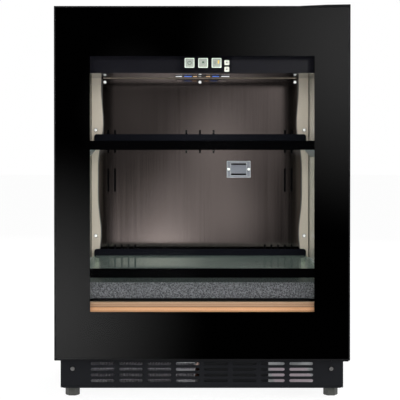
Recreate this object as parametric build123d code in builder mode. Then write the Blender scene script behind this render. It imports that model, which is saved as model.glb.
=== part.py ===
from build123d import *
import os

# Under-counter beverage cooler with a glass door hung on the right, as separate pieces.
# Axes: +X to the right, +Y to the back, +Z up. The origin is on the floor under the middle.
# All lengths are millimetres.

# Fits, play and sheet stock
fit_gap = 0.3
running_fit = 0.05
cut_overrun = 1.0
sheet = 1.0
panel_sheet = 1.2
shaft_radius = 2.0

# Door
door_overhang = 8.5
door_height = 712.0
door_thickness = 42.0
door_floor_gap = 88.0
door_corner_radius = 1.5
door_frame_lip = 3.0
glass_thickness = 4.0
border_thickness = 1.0
border_side = 72.0
border_top = 100.0
border_bottom = 97.5
door_frame_cover = 6.5
spacer_depth = 12.0
spacer_width = 10.0
spacer_setback = 4.0
seal_gap = 10.0
gasket_width = 16.0
gasket_offset = 2.5
gasket_flange = 3.0
gasket_neck = 8.0
gasket_neck_depth = 2.0

# Cabinet shell
cabinet_width = 578.0
cabinet_depth = 518.0
base_height = 25.0
hinge_gap = 0.5
side_insulation = 36.0
cavity_floor_z = 145.0
top_insulation = 65.5
liner_wall = 1.5
bottom_insulation = 38.5
back_insulation = 47.5
machine_room_depth = 307.0
step_height = 74.8

# Back wall
air_duct_depth = 52.0
slot_width = 4.3
slot_length = 54.0
slot_pitch = 15.6
slot_edge_margin = 40.4
centre_slot_pitch = 31.6
slot_row_drops = (146.9, 236.1)
low_slot_row_rise = 42.3
edge_slot_count = 2
lower_slot_count = 5
panel_side_gap = 1.8
strip_width = 26.0
# The strip's wavy inner edge from the bottom up: share of its height, share of its width
strip_edge_shares = (
    (0.0, 0.65), (0.11, 0.69), (0.205, 0.82), (0.35, 0.6), (0.48, 0.56), (0.61, 0.64),
    (0.735, 1.0), (0.88, 0.91), (1.0, 0.87),
)
strip_thickness = 2.0
wall_screw_head_radius = 3.6
wall_screw_head_height = 1.6
wall_screw_radius = 1.5
wall_screw_play = 0.1
wall_screw_length = 5.0
top_screw_inset = 32.7
top_screw_drop = 9.2
strip_screw_inset = 11.4
strip_screw_drop = 120.4
strip_screw_rise = 89.6
cover_centre_x = 89.5
cover_centre_drop = 211.0
cover_width = 54.8
cover_height = 38.2
cover_depth = 12.0
cover_wall = 1.5
cover_recess_width = 36.0
cover_recess_height = 28.0
cover_recess_depth = 4.0
cover_vent = 4.0
cover_corner_radius = 2.0
cover_screw_inset = 4.2
probe_radius = 3.0
probe_length = 26.0

# Evaporator behind the back wall, with its fan
evaporator_side_gap = 63.0
evaporator_fan_gap = 57.1
evaporator_depth = 38.0
evaporator_lift = 35.2
evaporator_fin_pitch = 12.0
evaporator_fin = 1.0
evaporator_tube_radius = 4.0
evaporator_tube_rows = 4
fan_frame_size = 92.0
fan_frame_depth = 26.0
fan_rim = 7.0
fan_tip_gap = 2.5
fan_hub_radius = 15.0
fan_strut_width = 5.0
fan_strut_depth = 3.0
fan_strut_count = 3
fan_strut_angle = 30.0
fan_blade_thickness = 1.6
fan_blade_chord = 17.0
fan_blade_pitch = 38.0
fan_blade_count = 7
fan_corner_radius = 6.0
fan_screw_radius = 2.2
fan_screw_inset = 6.5

# Controls and light
fascia_setback = 25.0
fascia_sheet = 3.0
fascia_height = 66.0
fascia_shelf_depth = 38.0
fascia_shelf_sheet = 1.2
ceiling_drop = 60.0
ceiling_sheet = 2.0
insert_left_x = -50.0
insert_right_x = 61.5
insert_rise = 47.0
insert_thickness = 2.6
insert_proud = 0.4
key_size = 20.0
key_rise = 21.0
key_centres = (-25.2, 2.7, 30.3)
key_corner_radius = 1.6
key_proud = 0.8
key_travel = 0.8
key_body_depth = 8.0
key_flange = 0.8
key_flange_depth = 1.2
small_key_size = 9.8
small_key_x = 51.5
small_key_rises = (21.5, 7.8)
board_thickness = 1.6
board_margin = 2.0
board_post_radius = 1.5
board_post_inset = 3.5
board_post_low_x = 38.0
lamp_width = 124.0
lamp_depth = 50.0
lamp_height = 5.0
lamp_wall_gap = 120.0
lamp_centre_x = 4.5
lamp_proud = 1.2
lamp_corner_radius = 8.0

# Glass shelves
shelf_side_gap = 10.0
shelf_glass = 4.0
shelf_rear_gap = 34.0
upper_shelf_drop = 145.0
lower_shelf_rise = 46.7
front_trim_depth = 9.0
front_trim_height = 19.0
rear_trim_depth = 6.0
rear_trim_rise = 15.0
rear_trim_radius = 6.0
trim_wrap = 4.0
trim_edge_radius = 1.2
ledge_width = 12.0
ledge_toe = 19.0
ledge_foot = 1.0
ledge_height = 32.0
ledge_end_gap = 3.0

# Bottle rack with its wooden front
rack_side_gap = 17.0
rack_front_height = 34.5
rack_front_thickness = 18.0
rack_front_floor_gap = 18.0
rack_groove_drop = 9.9
rack_groove_width = 1.6
rack_groove_depth = 1.5
rack_front_radius = 1.5
rack_rod_radius = 3.0
rack_cross_rod_radius = 2.5
rack_wire_radius = 2.0
rack_wire_count = 15
rack_cross_rods = 3
rack_stop_height = 20.0
rack_stop_thickness = 3.0
rail_ledge_width = 26.0
rail_sheet = 2.0
rail_height = 20.0
rail_floor_gap = 19.0

# Kick grille
grille_side_inset = 1.0
grille_height = 60.0
grille_thickness = 2.5
grille_flange = 10.0
grille_lip = 2.0
grille_lip_height = 2.5
grille_corner_radius = 6.0
grille_slot_length = 48.3
grille_slot_height = 6.0
grille_slot_pitch_x = 58.0
grille_slot_pitch_z = 11.6
grille_slot_rows = 4
grille_slot_centre_z = 57.0
grille_screw_inset = 24.6
grille_screw_z = 64.0
grille_screw_head_radius = 4.5
grille_screw_head_height = 2.0
grille_screw_radius = 2.0
frame_bottom_gap = 1.0

# Base pan, ears and levelling feet
pan_sheet = 2.0
pan_vent_side_inset = 53.0
pan_vent_width = 84.0
pan_vent_front_setback = 40.0
pan_vent_depth = 250.0
ear_width = 24.0
ear_height = 50.0
foot_side_inset = 20.0
foot_front_setback = 63.0
foot_rear_setback = 45.0
foot_across_flats = 26.0
foot_rod_radius = 5.0
foot_rod_length = 40.0
foot_nut_radius = 10.0
foot_nut_height = 12.0
foot_chamfer = 1.5

# Compressor, its mounts and the drip tray
compressor_side_gap = 84.0
compressor_back_gap = 135.0
compressor_radius = 66.0
compressor_height = 118.0
compressor_dome = 26.0
compressor_seam_radius = 2.5
compressor_seam_height = 62.0
compressor_plate = 3.0
compressor_plate_width = 168.0
compressor_plate_depth = 110.0
mount_height = 12.0
mount_radius = 11.0
mount_neck_radius = 5.0
mount_inset = 14.0
tray_width = 150.0
tray_depth = 120.0
tray_height = 14.0
tray_wall = 1.5
tray_corner_radius = 10.0

# Condenser with its fan and shroud
condenser_side_gap = 37.0
condenser_width = 238.0
condenser_front_setback = 16.0
condenser_depth = 84.0
condenser_height = 66.0
condenser_fin_pitch = 6.0
condenser_fin = 0.8
condenser_tube_radius = 3.5
condenser_tube_rows = 3
condenser_tube_columns = 2
condenser_end_plate = 1.6
shroud_width = 150.0
shroud_height = 118.0
shroud_sheet = 2.0
tube_radius = 3.0
drier_radius = 9.0
drier_place_share = 0.195
drier_length_share = 0.355
liquid_line_gap = 9.0
discharge_turn_share = 0.337
suction_side_gap = 95.0
suction_height = 63.0

# Electrical box and the gland for its mains lead
box_side_gap = 9.0
box_width = 134.0
box_front_setback = 34.0
box_depth = 90.0
box_height = 68.0
box_radius = 4.0
box_lid_groove = 2.0
gland_side_inset = 74.0
gland_bracket_width = 46.0
gland_bracket_height = 52.0
gland_bracket_thickness = 4.0
gland_height_z = 56.0
gland_radius = 10.0
gland_length = 14.0
gland_dimple_radius = 4.0
gland_dimple_depth = 3.0

# Hinges
hinge_axis_inset = 7.5
hinge_pin_radius = 3.0
hinge_bush_radius = 5.0
hinge_bush_length = 15.0
hinge_plate = 1.5
hinge_plate_width = 50.0
hinge_plate_front = 36.0
hinge_plate_back = 45.0
hinge_cover_width = 98.5
hinge_cover_rise = 3.0
hinge_cover_shoulder = 46.0
hinge_cover_shoulder_rise = 2.3
hinge_cap_radius = 5.0
hinge_cap_height = 0.5
hinge_screw_head_radius = 4.0
hinge_screw_radius = 2.0
hinge_screw_inset = 12.0
bottom_bracket_width = 34.0
bottom_bracket_plate = 2.4
bottom_bracket_height = 34.0
bottom_bracket_front = 14.0

# Places worked out from the sizes above
door_front_y = -(door_thickness + seal_gap + cabinet_depth) / 2
door_back_y = door_front_y + door_thickness
cabinet_front_y = door_back_y + seal_gap
cabinet_back_y = cabinet_front_y + cabinet_depth
door_width = cabinet_width + 2 * door_overhang
door_bottom_z = door_floor_gap
door_top_z = door_bottom_z + door_height
door_middle_z = (door_bottom_z + door_top_z) / 2
cabinet_top_z = door_top_z + hinge_gap
cabinet_half = cabinet_width / 2
inner_half = cabinet_half - sheet
cavity_width = cabinet_width - 2 * side_insulation
cavity_half = cavity_width / 2
cavity_top_z = cabinet_top_z - top_insulation
cavity_height = cavity_top_z - cavity_floor_z
liner_front_y = cabinet_front_y + sheet
liner_back_y = cabinet_back_y - sheet - back_insulation - liner_wall
step_front_y = cabinet_back_y - machine_room_depth
step_top_z = cavity_floor_z + step_height
deck_low_z = cavity_floor_z - liner_wall - bottom_insulation
deck_high_z = step_top_z - liner_wall - bottom_insulation
deck_riser_y = step_front_y + liner_wall + bottom_insulation
panel_front_y = liner_back_y - air_duct_depth
fascia_y = cabinet_front_y + fascia_setback
fascia_bottom_z = cavity_top_z - fascia_height
ceiling_z = cavity_top_z - ceiling_drop
insert_top_z = fascia_bottom_z + insert_rise
key_height_z = fascia_bottom_z + key_rise
small_key_heights = [fascia_bottom_z + rise for rise in small_key_rises]
lamp_y = panel_front_y - lamp_wall_gap
slot_row_heights = [ceiling_z - drop for drop in slot_row_drops]
slot_row_heights.append(step_top_z + low_slot_row_rise)
top_screw_x = cavity_half - top_screw_inset
strip_screw_heights = (ceiling_z - strip_screw_drop, step_top_z + strip_screw_rise)
cover_centre_z = ceiling_z - cover_centre_drop
evaporator_fan_z = slot_row_heights[0]
fan_bore_radius = fan_frame_size / 2 - fan_rim
evaporator_width = cavity_width - 2 * evaporator_side_gap
evaporator_bottom_z = step_top_z + evaporator_lift
evaporator_top_z = evaporator_fan_z - fan_frame_size / 2 - evaporator_fan_gap
evaporator_height = evaporator_top_z - evaporator_bottom_z
shelf_width = cavity_width - 2 * shelf_side_gap
shelf_depth = panel_front_y - shelf_rear_gap - fascia_y
shelf_heights = (ceiling_z - upper_shelf_drop, step_top_z + lower_shelf_rise)
ledge_length = shelf_depth - front_trim_depth - ledge_end_gap
rack_front_width = cavity_width - 2 * rack_side_gap
grille_width = cabinet_width - 2 * grille_side_inset
grille_screw_x = cabinet_half - grille_screw_inset
grille_slot_columns = int((2 * grille_screw_x - grille_slot_length) / grille_slot_pitch_x)
foot_x = cabinet_half - foot_side_inset
pan_vent_right_x = cabinet_half - pan_vent_side_inset
pan_vent_left_x = pan_vent_right_x - pan_vent_width
condenser_left_x = -cabinet_half + condenser_side_gap
condenser_right_x = condenser_left_x + condenser_width
shroud_centre_x = condenser_left_x + condenser_width / 2
compressor_x = condenser_right_x + compressor_side_gap
compressor_y = cabinet_back_y - compressor_back_gap
liquid_line_x = condenser_right_x + liquid_line_gap
suction_x = compressor_x - suction_side_gap
box_left_x = liquid_line_x + box_side_gap
gland_x = cabinet_half - gland_side_inset
hinge_axis_x = door_width / 2 - hinge_axis_inset
window_left_x = -door_width / 2 + border_side
window_right_x = door_width / 2 - border_side
window_bottom_z = door_bottom_z + border_bottom
window_top_z = door_top_z - border_top
outer_glass_back_y = door_front_y + glass_thickness
border_back_y = outer_glass_back_y + border_thickness
spacer_back_y = border_back_y + spacer_depth
inner_glass_back_y = spacer_back_y + glass_thickness
hinge_axis_y = door_front_y + door_thickness / 2
pan_top_z = base_height + pan_sheet
grille_top_z = base_height + grille_height
frame_bottom_z = grille_top_z + frame_bottom_gap


def facing(y):
    """Plane square to the depth at y; an extrusion from it grows towards the front."""
    return Plane.XZ.offset(-y)


def slab(x_span, y_span, z_span, mode=Mode.ADD):
    """Square-edged block between three pairs of limits."""
    spans = (x_span, y_span, z_span)
    with Locations(tuple(sum(span) / 2 for span in spans)):
        Box(*(span[1] - span[0] for span in spans), mode=mode)


def about(centre, size):
    """Limits of a size laid evenly about a centre."""
    return (centre - size / 2, centre + size / 2)


def post(x, y, z_span, radius, mode=Mode.ADD):
    """Upright round bar or hole."""
    with Locations((x, y, sum(z_span) / 2)):
        Cylinder(radius, z_span[1] - z_span[0], mode=mode)


def bar_x(x_span, y, z, radius, mode=Mode.ADD):
    """Round bar or hole along the width."""
    with Locations((sum(x_span) / 2, y, z)):
        Cylinder(radius, x_span[1] - x_span[0], rotation=(0, 90, 0), mode=mode)


def bar_y(x, y_span, z, radius, mode=Mode.ADD):
    """Round bar or hole along the depth."""
    with Locations((x, sum(y_span) / 2, z)):
        Cylinder(radius, y_span[1] - y_span[0], rotation=(90, 0, 0), mode=mode)


def window_rectangle(grow, mode=Mode.ADD):
    """The door's window outline in a front-facing sketch, moved outwards by grow."""
    x_span = (window_left_x - grow, window_right_x + grow)
    z_span = (window_bottom_z - grow, window_top_z + grow)
    with Locations((sum(x_span) / 2, sum(z_span) / 2)):
        Rectangle(x_span[1] - x_span[0], z_span[1] - z_span[0], mode=mode)


def cavity_outline(grow):
    """Side outline of the cooled space, moved outwards by grow and open at the front."""
    return (
        (liner_front_y, cavity_floor_z - grow),
        (step_front_y + grow, cavity_floor_z - grow),
        (step_front_y + grow, step_top_z - grow),
        (liner_back_y + grow, step_top_z - grow),
        (liner_back_y + grow, cavity_top_z + grow),
        (liner_front_y, cavity_top_z + grow),
    )


parts = {}

# Cabinet shell

with BuildPart() as outer_wrapper:
    with BuildSketch(facing(cabinet_back_y)):
        with Locations((0, (base_height + cabinet_top_z) / 2)):
            Rectangle(cabinet_width, cabinet_top_z - base_height)
        with Locations((0, (base_height + cabinet_top_z) / 2 - sheet)):
            Rectangle(2 * inner_half, cabinet_top_z - base_height, mode=Mode.SUBTRACT)
    extrude(amount=cabinet_depth)
parts["outer_wrapper"] = outer_wrapper

with BuildPart() as back_plate:
    slab(
        (-inner_half, inner_half),
        (cabinet_back_y - sheet, cabinet_back_y),
        (deck_high_z, cabinet_top_z - sheet),
    )
parts["back_plate"] = back_plate

with BuildPart() as machine_deck:
    with BuildSketch(Plane.YZ):
        with BuildLine():
            Polyline(
                (liner_front_y, deck_low_z),
                (deck_riser_y, deck_low_z),
                (deck_riser_y, deck_high_z),
                (cabinet_back_y - sheet, deck_high_z),
                (cabinet_back_y - sheet, deck_high_z + sheet),
                (deck_riser_y - sheet, deck_high_z + sheet),
                (deck_riser_y - sheet, deck_low_z + sheet),
                (liner_front_y, deck_low_z + sheet),
                close=True,
            )
        make_face()
    extrude(amount=inner_half, both=True)
parts["machine_deck"] = machine_deck

with BuildPart() as insulation_foam:
    with BuildSketch(Plane.YZ):
        with BuildLine():
            Polyline(
                (liner_front_y, deck_low_z + sheet),
                (deck_riser_y - sheet, deck_low_z + sheet),
                (deck_riser_y - sheet, deck_high_z + sheet),
                (cabinet_back_y - sheet, deck_high_z + sheet),
                (cabinet_back_y - sheet, cabinet_top_z - sheet),
                (liner_front_y, cabinet_top_z - sheet),
                close=True,
            )
        make_face()
    extrude(amount=inner_half, both=True)
    with BuildSketch(Plane.YZ):
        with BuildLine():
            Polyline(*cavity_outline(liner_wall), close=True)
        make_face()
    extrude(amount=cavity_half + liner_wall, both=True, mode=Mode.SUBTRACT)
parts["insulation_foam"] = insulation_foam

with BuildPart() as inner_liner:
    with BuildSketch(Plane.YZ):
        with BuildLine():
            Polyline(*cavity_outline(liner_wall), close=True)
        make_face()
    extrude(amount=cavity_half + liner_wall, both=True)
    with BuildSketch(Plane.YZ):
        with BuildLine():
            Polyline(*cavity_outline(0), close=True)
        make_face()
    extrude(amount=cavity_half, both=True, mode=Mode.SUBTRACT)
parts["inner_liner"] = inner_liner

with BuildPart() as front_frame:
    with BuildSketch(facing(liner_front_y)):
        with Locations((0, (frame_bottom_z + cabinet_top_z - sheet) / 2)):
            Rectangle(2 * inner_half, cabinet_top_z - sheet - frame_bottom_z)
        with Locations((0, (cavity_floor_z + cavity_top_z) / 2)):
            Rectangle(cavity_width, cavity_height, mode=Mode.SUBTRACT)
    extrude(amount=sheet)
parts["front_frame"] = front_frame

# Embossed cover over the step that makes room for the compressor
with BuildPart() as step_cover:
    with BuildSketch(Plane.YZ):
        with BuildLine():
            Polyline(
                (step_front_y - panel_sheet, cavity_floor_z),
                (step_front_y, cavity_floor_z),
                (step_front_y, step_top_z),
                (panel_front_y + panel_sheet, step_top_z),
                (panel_front_y + panel_sheet, step_top_z + panel_sheet),
                (step_front_y - panel_sheet, step_top_z + panel_sheet),
                close=True,
            )
        make_face()
    extrude(amount=cavity_half - fit_gap, both=True)
    nose = step_cover.edges().filter_by(Axis.X).group_by(Axis.Y)[0].sort_by(Axis.Z)[-1]
    fillet(nose, panel_sheet)
parts["step_cover"] = step_cover

# Back wall

panel_half = cavity_half - panel_side_gap
wall_bottom_z = step_top_z + panel_sheet
outer_slot_x = cavity_half - slot_edge_margin
edge_slots = [
    side * (outer_slot_x - n * slot_pitch) for side in (-1, 1) for n in range(edge_slot_count)
]
centre_slots = [n * centre_slot_pitch for n in (-1, 0, 1)]
lower_slots = [
    side * (outer_slot_x - n * slot_pitch) for side in (-1, 1) for n in range(lower_slot_count)
]
slot_places = [
    (x, z)
    for z, row in zip(slot_row_heights, (edge_slots + centre_slots, edge_slots, lower_slots))
    for x in row
]
top_screw_places = [(x, ceiling_z - top_screw_drop) for x in (-top_screw_x, 0, top_screw_x)]
strip_screw_x = cavity_half - strip_screw_inset
strip_screw_places = [(side * strip_screw_x, z) for side in (-1, 1) for z in strip_screw_heights]
cover_screw_x = cover_width / 2 - cover_screw_inset
cover_screw_places = [(cover_centre_x + side * cover_screw_x, cover_centre_z) for side in (-1, 1)]
wall_hole_radius = wall_screw_radius + wall_screw_play

with BuildPart() as back_panel:
    with BuildSketch(facing(panel_front_y + panel_sheet)):
        with Locations((0, (wall_bottom_z + cavity_top_z - fit_gap) / 2)):
            Rectangle(2 * panel_half, cavity_top_z - fit_gap - wall_bottom_z)
        with Locations(*slot_places):
            SlotOverall(slot_length, slot_width, rotation=90, mode=Mode.SUBTRACT)
        with Locations(*top_screw_places, *strip_screw_places, *cover_screw_places):
            Circle(wall_hole_radius, mode=Mode.SUBTRACT)
    extrude(amount=panel_sheet)
parts["back_panel"] = back_panel

strip_height = ceiling_z - wall_bottom_z
with BuildPart() as side_strips:
    for side in (-1, 1):
        wavy_edge = [
            (side * (panel_half - width_share * strip_width), wall_bottom_z + share * strip_height)
            for share, width_share in strip_edge_shares
        ]
        with BuildSketch(facing(panel_front_y)):
            with BuildLine():
                Spline(*wavy_edge)
                Polyline(
                    wavy_edge[-1], (side * panel_half, ceiling_z),
                    (side * panel_half, wall_bottom_z), wavy_edge[0],
                )
            make_face()
        extrude(amount=strip_thickness)
    wavy_edges = side_strips.edges().filter_by(GeomType.BSPLINE).group_by(Axis.Y)[0]
    fillet(wavy_edges, strip_thickness - 2 * fit_gap)
    for x, z in strip_screw_places:
        depth_span = (panel_front_y - strip_thickness - cut_overrun, panel_front_y + cut_overrun)
        bar_y(x, depth_span, z, wall_hole_radius, mode=Mode.SUBTRACT)
parts["side_strips"] = side_strips

# Each screw is its place and the depth of the face that its head sits on.
wall_screws = [(x, panel_front_y, z) for x, z in top_screw_places]
wall_screws += [(x, panel_front_y - strip_thickness, z) for x, z in strip_screw_places]
wall_screws += [(x, panel_front_y - cover_depth, z) for x, z in cover_screw_places]
with BuildPart() as back_wall_screws:
    for x, y, z in wall_screws:
        bar_y(x, (y - wall_screw_head_height, y), z, wall_screw_head_radius)
        bar_y(x, (y, panel_front_y + wall_screw_length), z, wall_screw_radius)
    rims = back_wall_screws.edges().filter_by(GeomType.CIRCLE)
    rims = [
        edge
        for edge in rims
        if edge.radius == wall_screw_head_radius
        and any(
            abs(edge.center().Y - y + wall_screw_head_height) < fit_gap for x, y, z in wall_screws
        )
    ]
    fillet(rims, wall_screw_head_height / 2)
parts["back_wall_screws"] = back_wall_screws

cover_front_y = panel_front_y - cover_depth
with BuildPart() as sensor_cover:
    with BuildSketch(facing(panel_front_y)):
        with Locations((cover_centre_x, cover_centre_z)):
            RectangleRounded(cover_width, cover_height, cover_corner_radius)
    extrude(amount=cover_depth)
    fillet(sensor_cover.faces().sort_by(Axis.Y)[0].edges(), cover_corner_radius / 2)
    slab(
        about(cover_centre_x, cover_recess_width),
        (cover_front_y + cover_recess_depth + cover_wall, panel_front_y),
        about(cover_centre_z, cover_height - 2 * cover_wall),
        mode=Mode.SUBTRACT,
    )
    slab(
        about(cover_centre_x, cover_recess_width),
        (cover_front_y, cover_front_y + cover_recess_depth),
        about(cover_centre_z, cover_recess_height),
        mode=Mode.SUBTRACT,
    )
    for side in (-1, 1):
        slab(
            about(cover_centre_x, cover_recess_width),
            (cover_front_y, panel_front_y),
            about(cover_centre_z + side * (cover_recess_height - cover_vent) / 2, cover_vent),
            mode=Mode.SUBTRACT,
        )
    for x, z in cover_screw_places:
        bar_y(x, (cover_front_y, panel_front_y), z, wall_hole_radius, mode=Mode.SUBTRACT)
parts["sensor_cover"] = sensor_cover

with BuildPart() as temperature_sensor:
    probe_y = panel_front_y - probe_radius - fit_gap / 2
    bar_x(about(cover_centre_x, probe_length), probe_y, cover_centre_z, probe_radius)
    fillet(temperature_sensor.edges().filter_by(GeomType.CIRCLE), probe_radius - fit_gap)
parts["temperature_sensor"] = temperature_sensor

# Evaporator and fans

with BuildPart() as evaporator:
    fin_count = int(evaporator_width / evaporator_fin_pitch)
    fin_back_y = liner_back_y
    fin_front_y = fin_back_y - evaporator_depth
    fin_middle_z = evaporator_bottom_z + evaporator_height / 2
    with Locations((0, (fin_back_y + fin_front_y) / 2, fin_middle_z)):
        with GridLocations(evaporator_fin_pitch, 0, fin_count, 1):
            Box(evaporator_fin, evaporator_depth, evaporator_height)
    row_pitch = evaporator_height / evaporator_tube_rows
    for row in range(evaporator_tube_rows):
        row_z = evaporator_bottom_z + (row + 0.5) * row_pitch
        bar_x(about(0, fin_count * evaporator_fin_pitch), (fin_back_y + fin_front_y) / 2, row_z,
              evaporator_tube_radius)
parts["evaporator"] = evaporator


def fan_blades(hub_radius, tip_radius, plane):
    """Flat pitched blades round a hub in the given plane, rooted inside it."""
    root_radius = hub_radius - fan_blade_thickness
    blade_length = tip_radius - root_radius
    with BuildPart(plane, mode=Mode.PRIVATE) as blades:
        with PolarLocations(root_radius + blade_length / 2, fan_blade_count):
            Box(
                blade_length,
                fan_blade_chord,
                fan_blade_thickness,
                rotation=(fan_blade_pitch, 0, 0),
            )
    return blades.part


def fan_rotor(x, z, back_y, front_y):
    """Hub, shaft and blades of an axial fan between the spider at back_y and front_y."""
    tip_radius = fan_bore_radius - fan_tip_gap
    middle_y = (back_y + front_y) / 2
    with BuildPart() as rotor:
        bar_y(x, (front_y, back_y - fit_gap), z, fan_hub_radius)
        fillet(rotor.edges().filter_by(GeomType.CIRCLE).sort_by(Axis.Y)[0], fan_blade_thickness)
        bar_y(x, (back_y - fit_gap, back_y + fan_strut_depth), z, shaft_radius)
        add(fan_blades(fan_hub_radius, tip_radius, Plane((x, middle_y, z), (1, 0, 0), (0, -1, 0))))
    return rotor


def fan_spider(x, z, back_y):
    """Struts and a hub ring across a fan's bore, behind its rotor."""
    with Locations(Plane((x, back_y + fan_strut_depth / 2, z), (1, 0, 0), (0, -1, 0))):
        Cylinder(fan_hub_radius, fan_strut_depth)
        with PolarLocations((fan_bore_radius + fan_hub_radius) / 2, fan_strut_count,
                            start_angle=fan_strut_angle):
            Box(fan_bore_radius - fan_hub_radius + fan_strut_width, fan_strut_width,
                fan_strut_depth)
    bar_y(x, (back_y, back_y + fan_strut_depth), z, shaft_radius + running_fit,
          mode=Mode.SUBTRACT)


housing_front_y = panel_front_y + panel_sheet
housing_back_y = housing_front_y + fan_frame_depth
with BuildPart() as evaporator_fan_housing:
    with BuildSketch(facing(housing_back_y)):
        with Locations((0, evaporator_fan_z)):
            RectangleRounded(fan_frame_size, fan_frame_size, fan_corner_radius)
            Circle(fan_bore_radius, mode=Mode.SUBTRACT)
            with GridLocations(
                fan_frame_size - 2 * fan_screw_inset, fan_frame_size - 2 * fan_screw_inset, 2, 2
            ):
                Circle(fan_screw_radius, mode=Mode.SUBTRACT)
    extrude(amount=fan_frame_depth)
    fan_spider(0, evaporator_fan_z, housing_back_y - fan_strut_depth)
parts["evaporator_fan_housing"] = evaporator_fan_housing

parts["evaporator_fan"] = fan_rotor(
    0, evaporator_fan_z, housing_back_y - fan_strut_depth, housing_front_y + fan_tip_gap
)

# Controls and light

insert_width = insert_right_x - insert_left_x
insert_bottom_z = fascia_bottom_z + fascia_shelf_sheet
insert_height = insert_top_z - insert_bottom_z
insert_middle = ((insert_left_x + insert_right_x) / 2, (insert_bottom_z + insert_top_z) / 2)
insert_front_y = fascia_y - insert_proud
insert_back_y = insert_front_y + insert_thickness
fascia_shelf_y = fascia_y + fascia_shelf_depth

with BuildPart() as control_housing:
    housing_span = (-panel_half, panel_half)
    with BuildSketch(facing(fascia_y + fascia_sheet)):
        with Locations((0, (fascia_bottom_z + cavity_top_z - fit_gap) / 2)):
            Rectangle(2 * panel_half, cavity_top_z - fit_gap - fascia_bottom_z)
        with Locations(insert_middle):
            Rectangle(insert_width, insert_height, mode=Mode.SUBTRACT)
    extrude(amount=fascia_sheet)
    slab(housing_span, (fascia_y, fascia_shelf_y),
         (fascia_bottom_z, fascia_bottom_z + fascia_shelf_sheet))
    slab(housing_span, (fascia_shelf_y - fascia_sheet, fascia_shelf_y),
         (fascia_bottom_z, ceiling_z))
    edge = control_housing.edges().filter_by(Axis.X).group_by(Axis.Z)[0].sort_by(Axis.Y)[0]
    fillet(edge, fascia_shelf_sheet / 2)
parts["control_housing"] = control_housing

key_rear_y = insert_front_y - key_proud + key_body_depth
board_front_y = key_rear_y + key_travel + fit_gap
board_post_high_z = insert_top_z - board_post_inset
board_post_low_z = insert_bottom_z + board_post_inset
board_posts = (
    (insert_left_x + board_post_inset, board_post_high_z),
    (insert_right_x - board_post_inset, board_post_high_z),
    (insert_left_x + board_post_inset, board_post_low_z),
    (board_post_low_x, board_post_low_z),
)
with BuildPart() as control_insert:
    with BuildSketch(facing(insert_back_y)):
        with Locations(insert_middle):
            Rectangle(insert_width, insert_height)
        with Locations(*((x, key_height_z) for x in key_centres)):
            RectangleRounded(key_size + 2 * fit_gap, key_size + 2 * fit_gap,
                             key_corner_radius + fit_gap, mode=Mode.SUBTRACT)
        with Locations(*((small_key_x, z) for z in small_key_heights)):
            RectangleRounded(small_key_size + 2 * fit_gap, small_key_size + 2 * fit_gap,
                             key_corner_radius + fit_gap, mode=Mode.SUBTRACT)
    extrude(amount=insert_thickness)
    for x, z in board_posts:
        bar_y(x, (insert_back_y, board_front_y), z, board_post_radius)
parts["control_insert"] = control_insert

with BuildPart() as control_board:
    slab(
        (insert_left_x + board_margin, insert_right_x - board_margin),
        (board_front_y, board_front_y + board_thickness),
        (insert_bottom_z + board_margin, insert_top_z - board_margin),
    )
parts["control_board"] = control_board


def push_key(x, z, size):
    """Square key with a stop flange behind the insert and room for its travel."""
    with BuildPart() as key:
        with BuildSketch(facing(key_rear_y)):
            with Locations((x, z)):
                RectangleRounded(size, size, key_corner_radius)
        extrude(amount=key_body_depth)
        fillet(key.faces().sort_by(Axis.Y)[0].edges(), key_proud / 2)
        with BuildSketch(facing(insert_back_y + fit_gap + key_flange_depth)):
            with Locations((x, z)):
                RectangleRounded(size + 2 * key_flange, size + 2 * key_flange, key_corner_radius)
        extrude(amount=key_flange_depth)
    return key


for key_name, x in zip(("power_key", "lamp_key", "display_key"), key_centres):
    parts[key_name] = push_key(x, key_height_z, key_size)
for key_name, z in zip(("up_key", "down_key"), small_key_heights):
    parts[key_name] = push_key(small_key_x, z, small_key_size)

with BuildPart() as ceiling_cover:
    with BuildSketch(Plane.XY.offset(ceiling_z)):
        cover_span = (fascia_shelf_y - fascia_sheet, panel_front_y)
        with Locations((0, sum(cover_span) / 2)):
            Rectangle(2 * panel_half, cover_span[1] - cover_span[0])
        with Locations((lamp_centre_x, lamp_y)):
            RectangleRounded(lamp_width, lamp_depth, lamp_corner_radius, mode=Mode.SUBTRACT)
    extrude(amount=ceiling_sheet)
parts["ceiling_cover"] = ceiling_cover

with BuildPart() as lamp_lens:
    with BuildSketch(Plane.XY.offset(ceiling_z - lamp_proud)):
        with Locations((lamp_centre_x, lamp_y)):
            RectangleRounded(lamp_width, lamp_depth, lamp_corner_radius)
    extrude(amount=lamp_height)
    fillet(lamp_lens.faces().sort_by(Axis.Z)[0].edges(), lamp_proud - fit_gap)
parts["lamp_lens"] = lamp_lens

# Glass shelves on their ledges

shelf_front_y = fascia_y
shelf_back_y = shelf_front_y + shelf_depth
with BuildPart() as shelf_ledges:
    for top_z in shelf_heights:
        seat_z = top_z - shelf_glass
        for side in (-1, 1):
            wall_x = side * cavity_half
            with BuildSketch(facing(shelf_front_y + front_trim_depth + ledge_length)):
                with BuildLine():
                    Polyline(
                        (wall_x, seat_z),
                        (wall_x - side * ledge_width, seat_z),
                        (wall_x - side * ledge_width, seat_z - ledge_toe),
                        (wall_x - side * ledge_foot, seat_z - ledge_height),
                        (wall_x, seat_z - ledge_height),
                        close=True,
                    )
                make_face()
            extrude(amount=ledge_length)
parts["shelf_ledges"] = shelf_ledges


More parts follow.
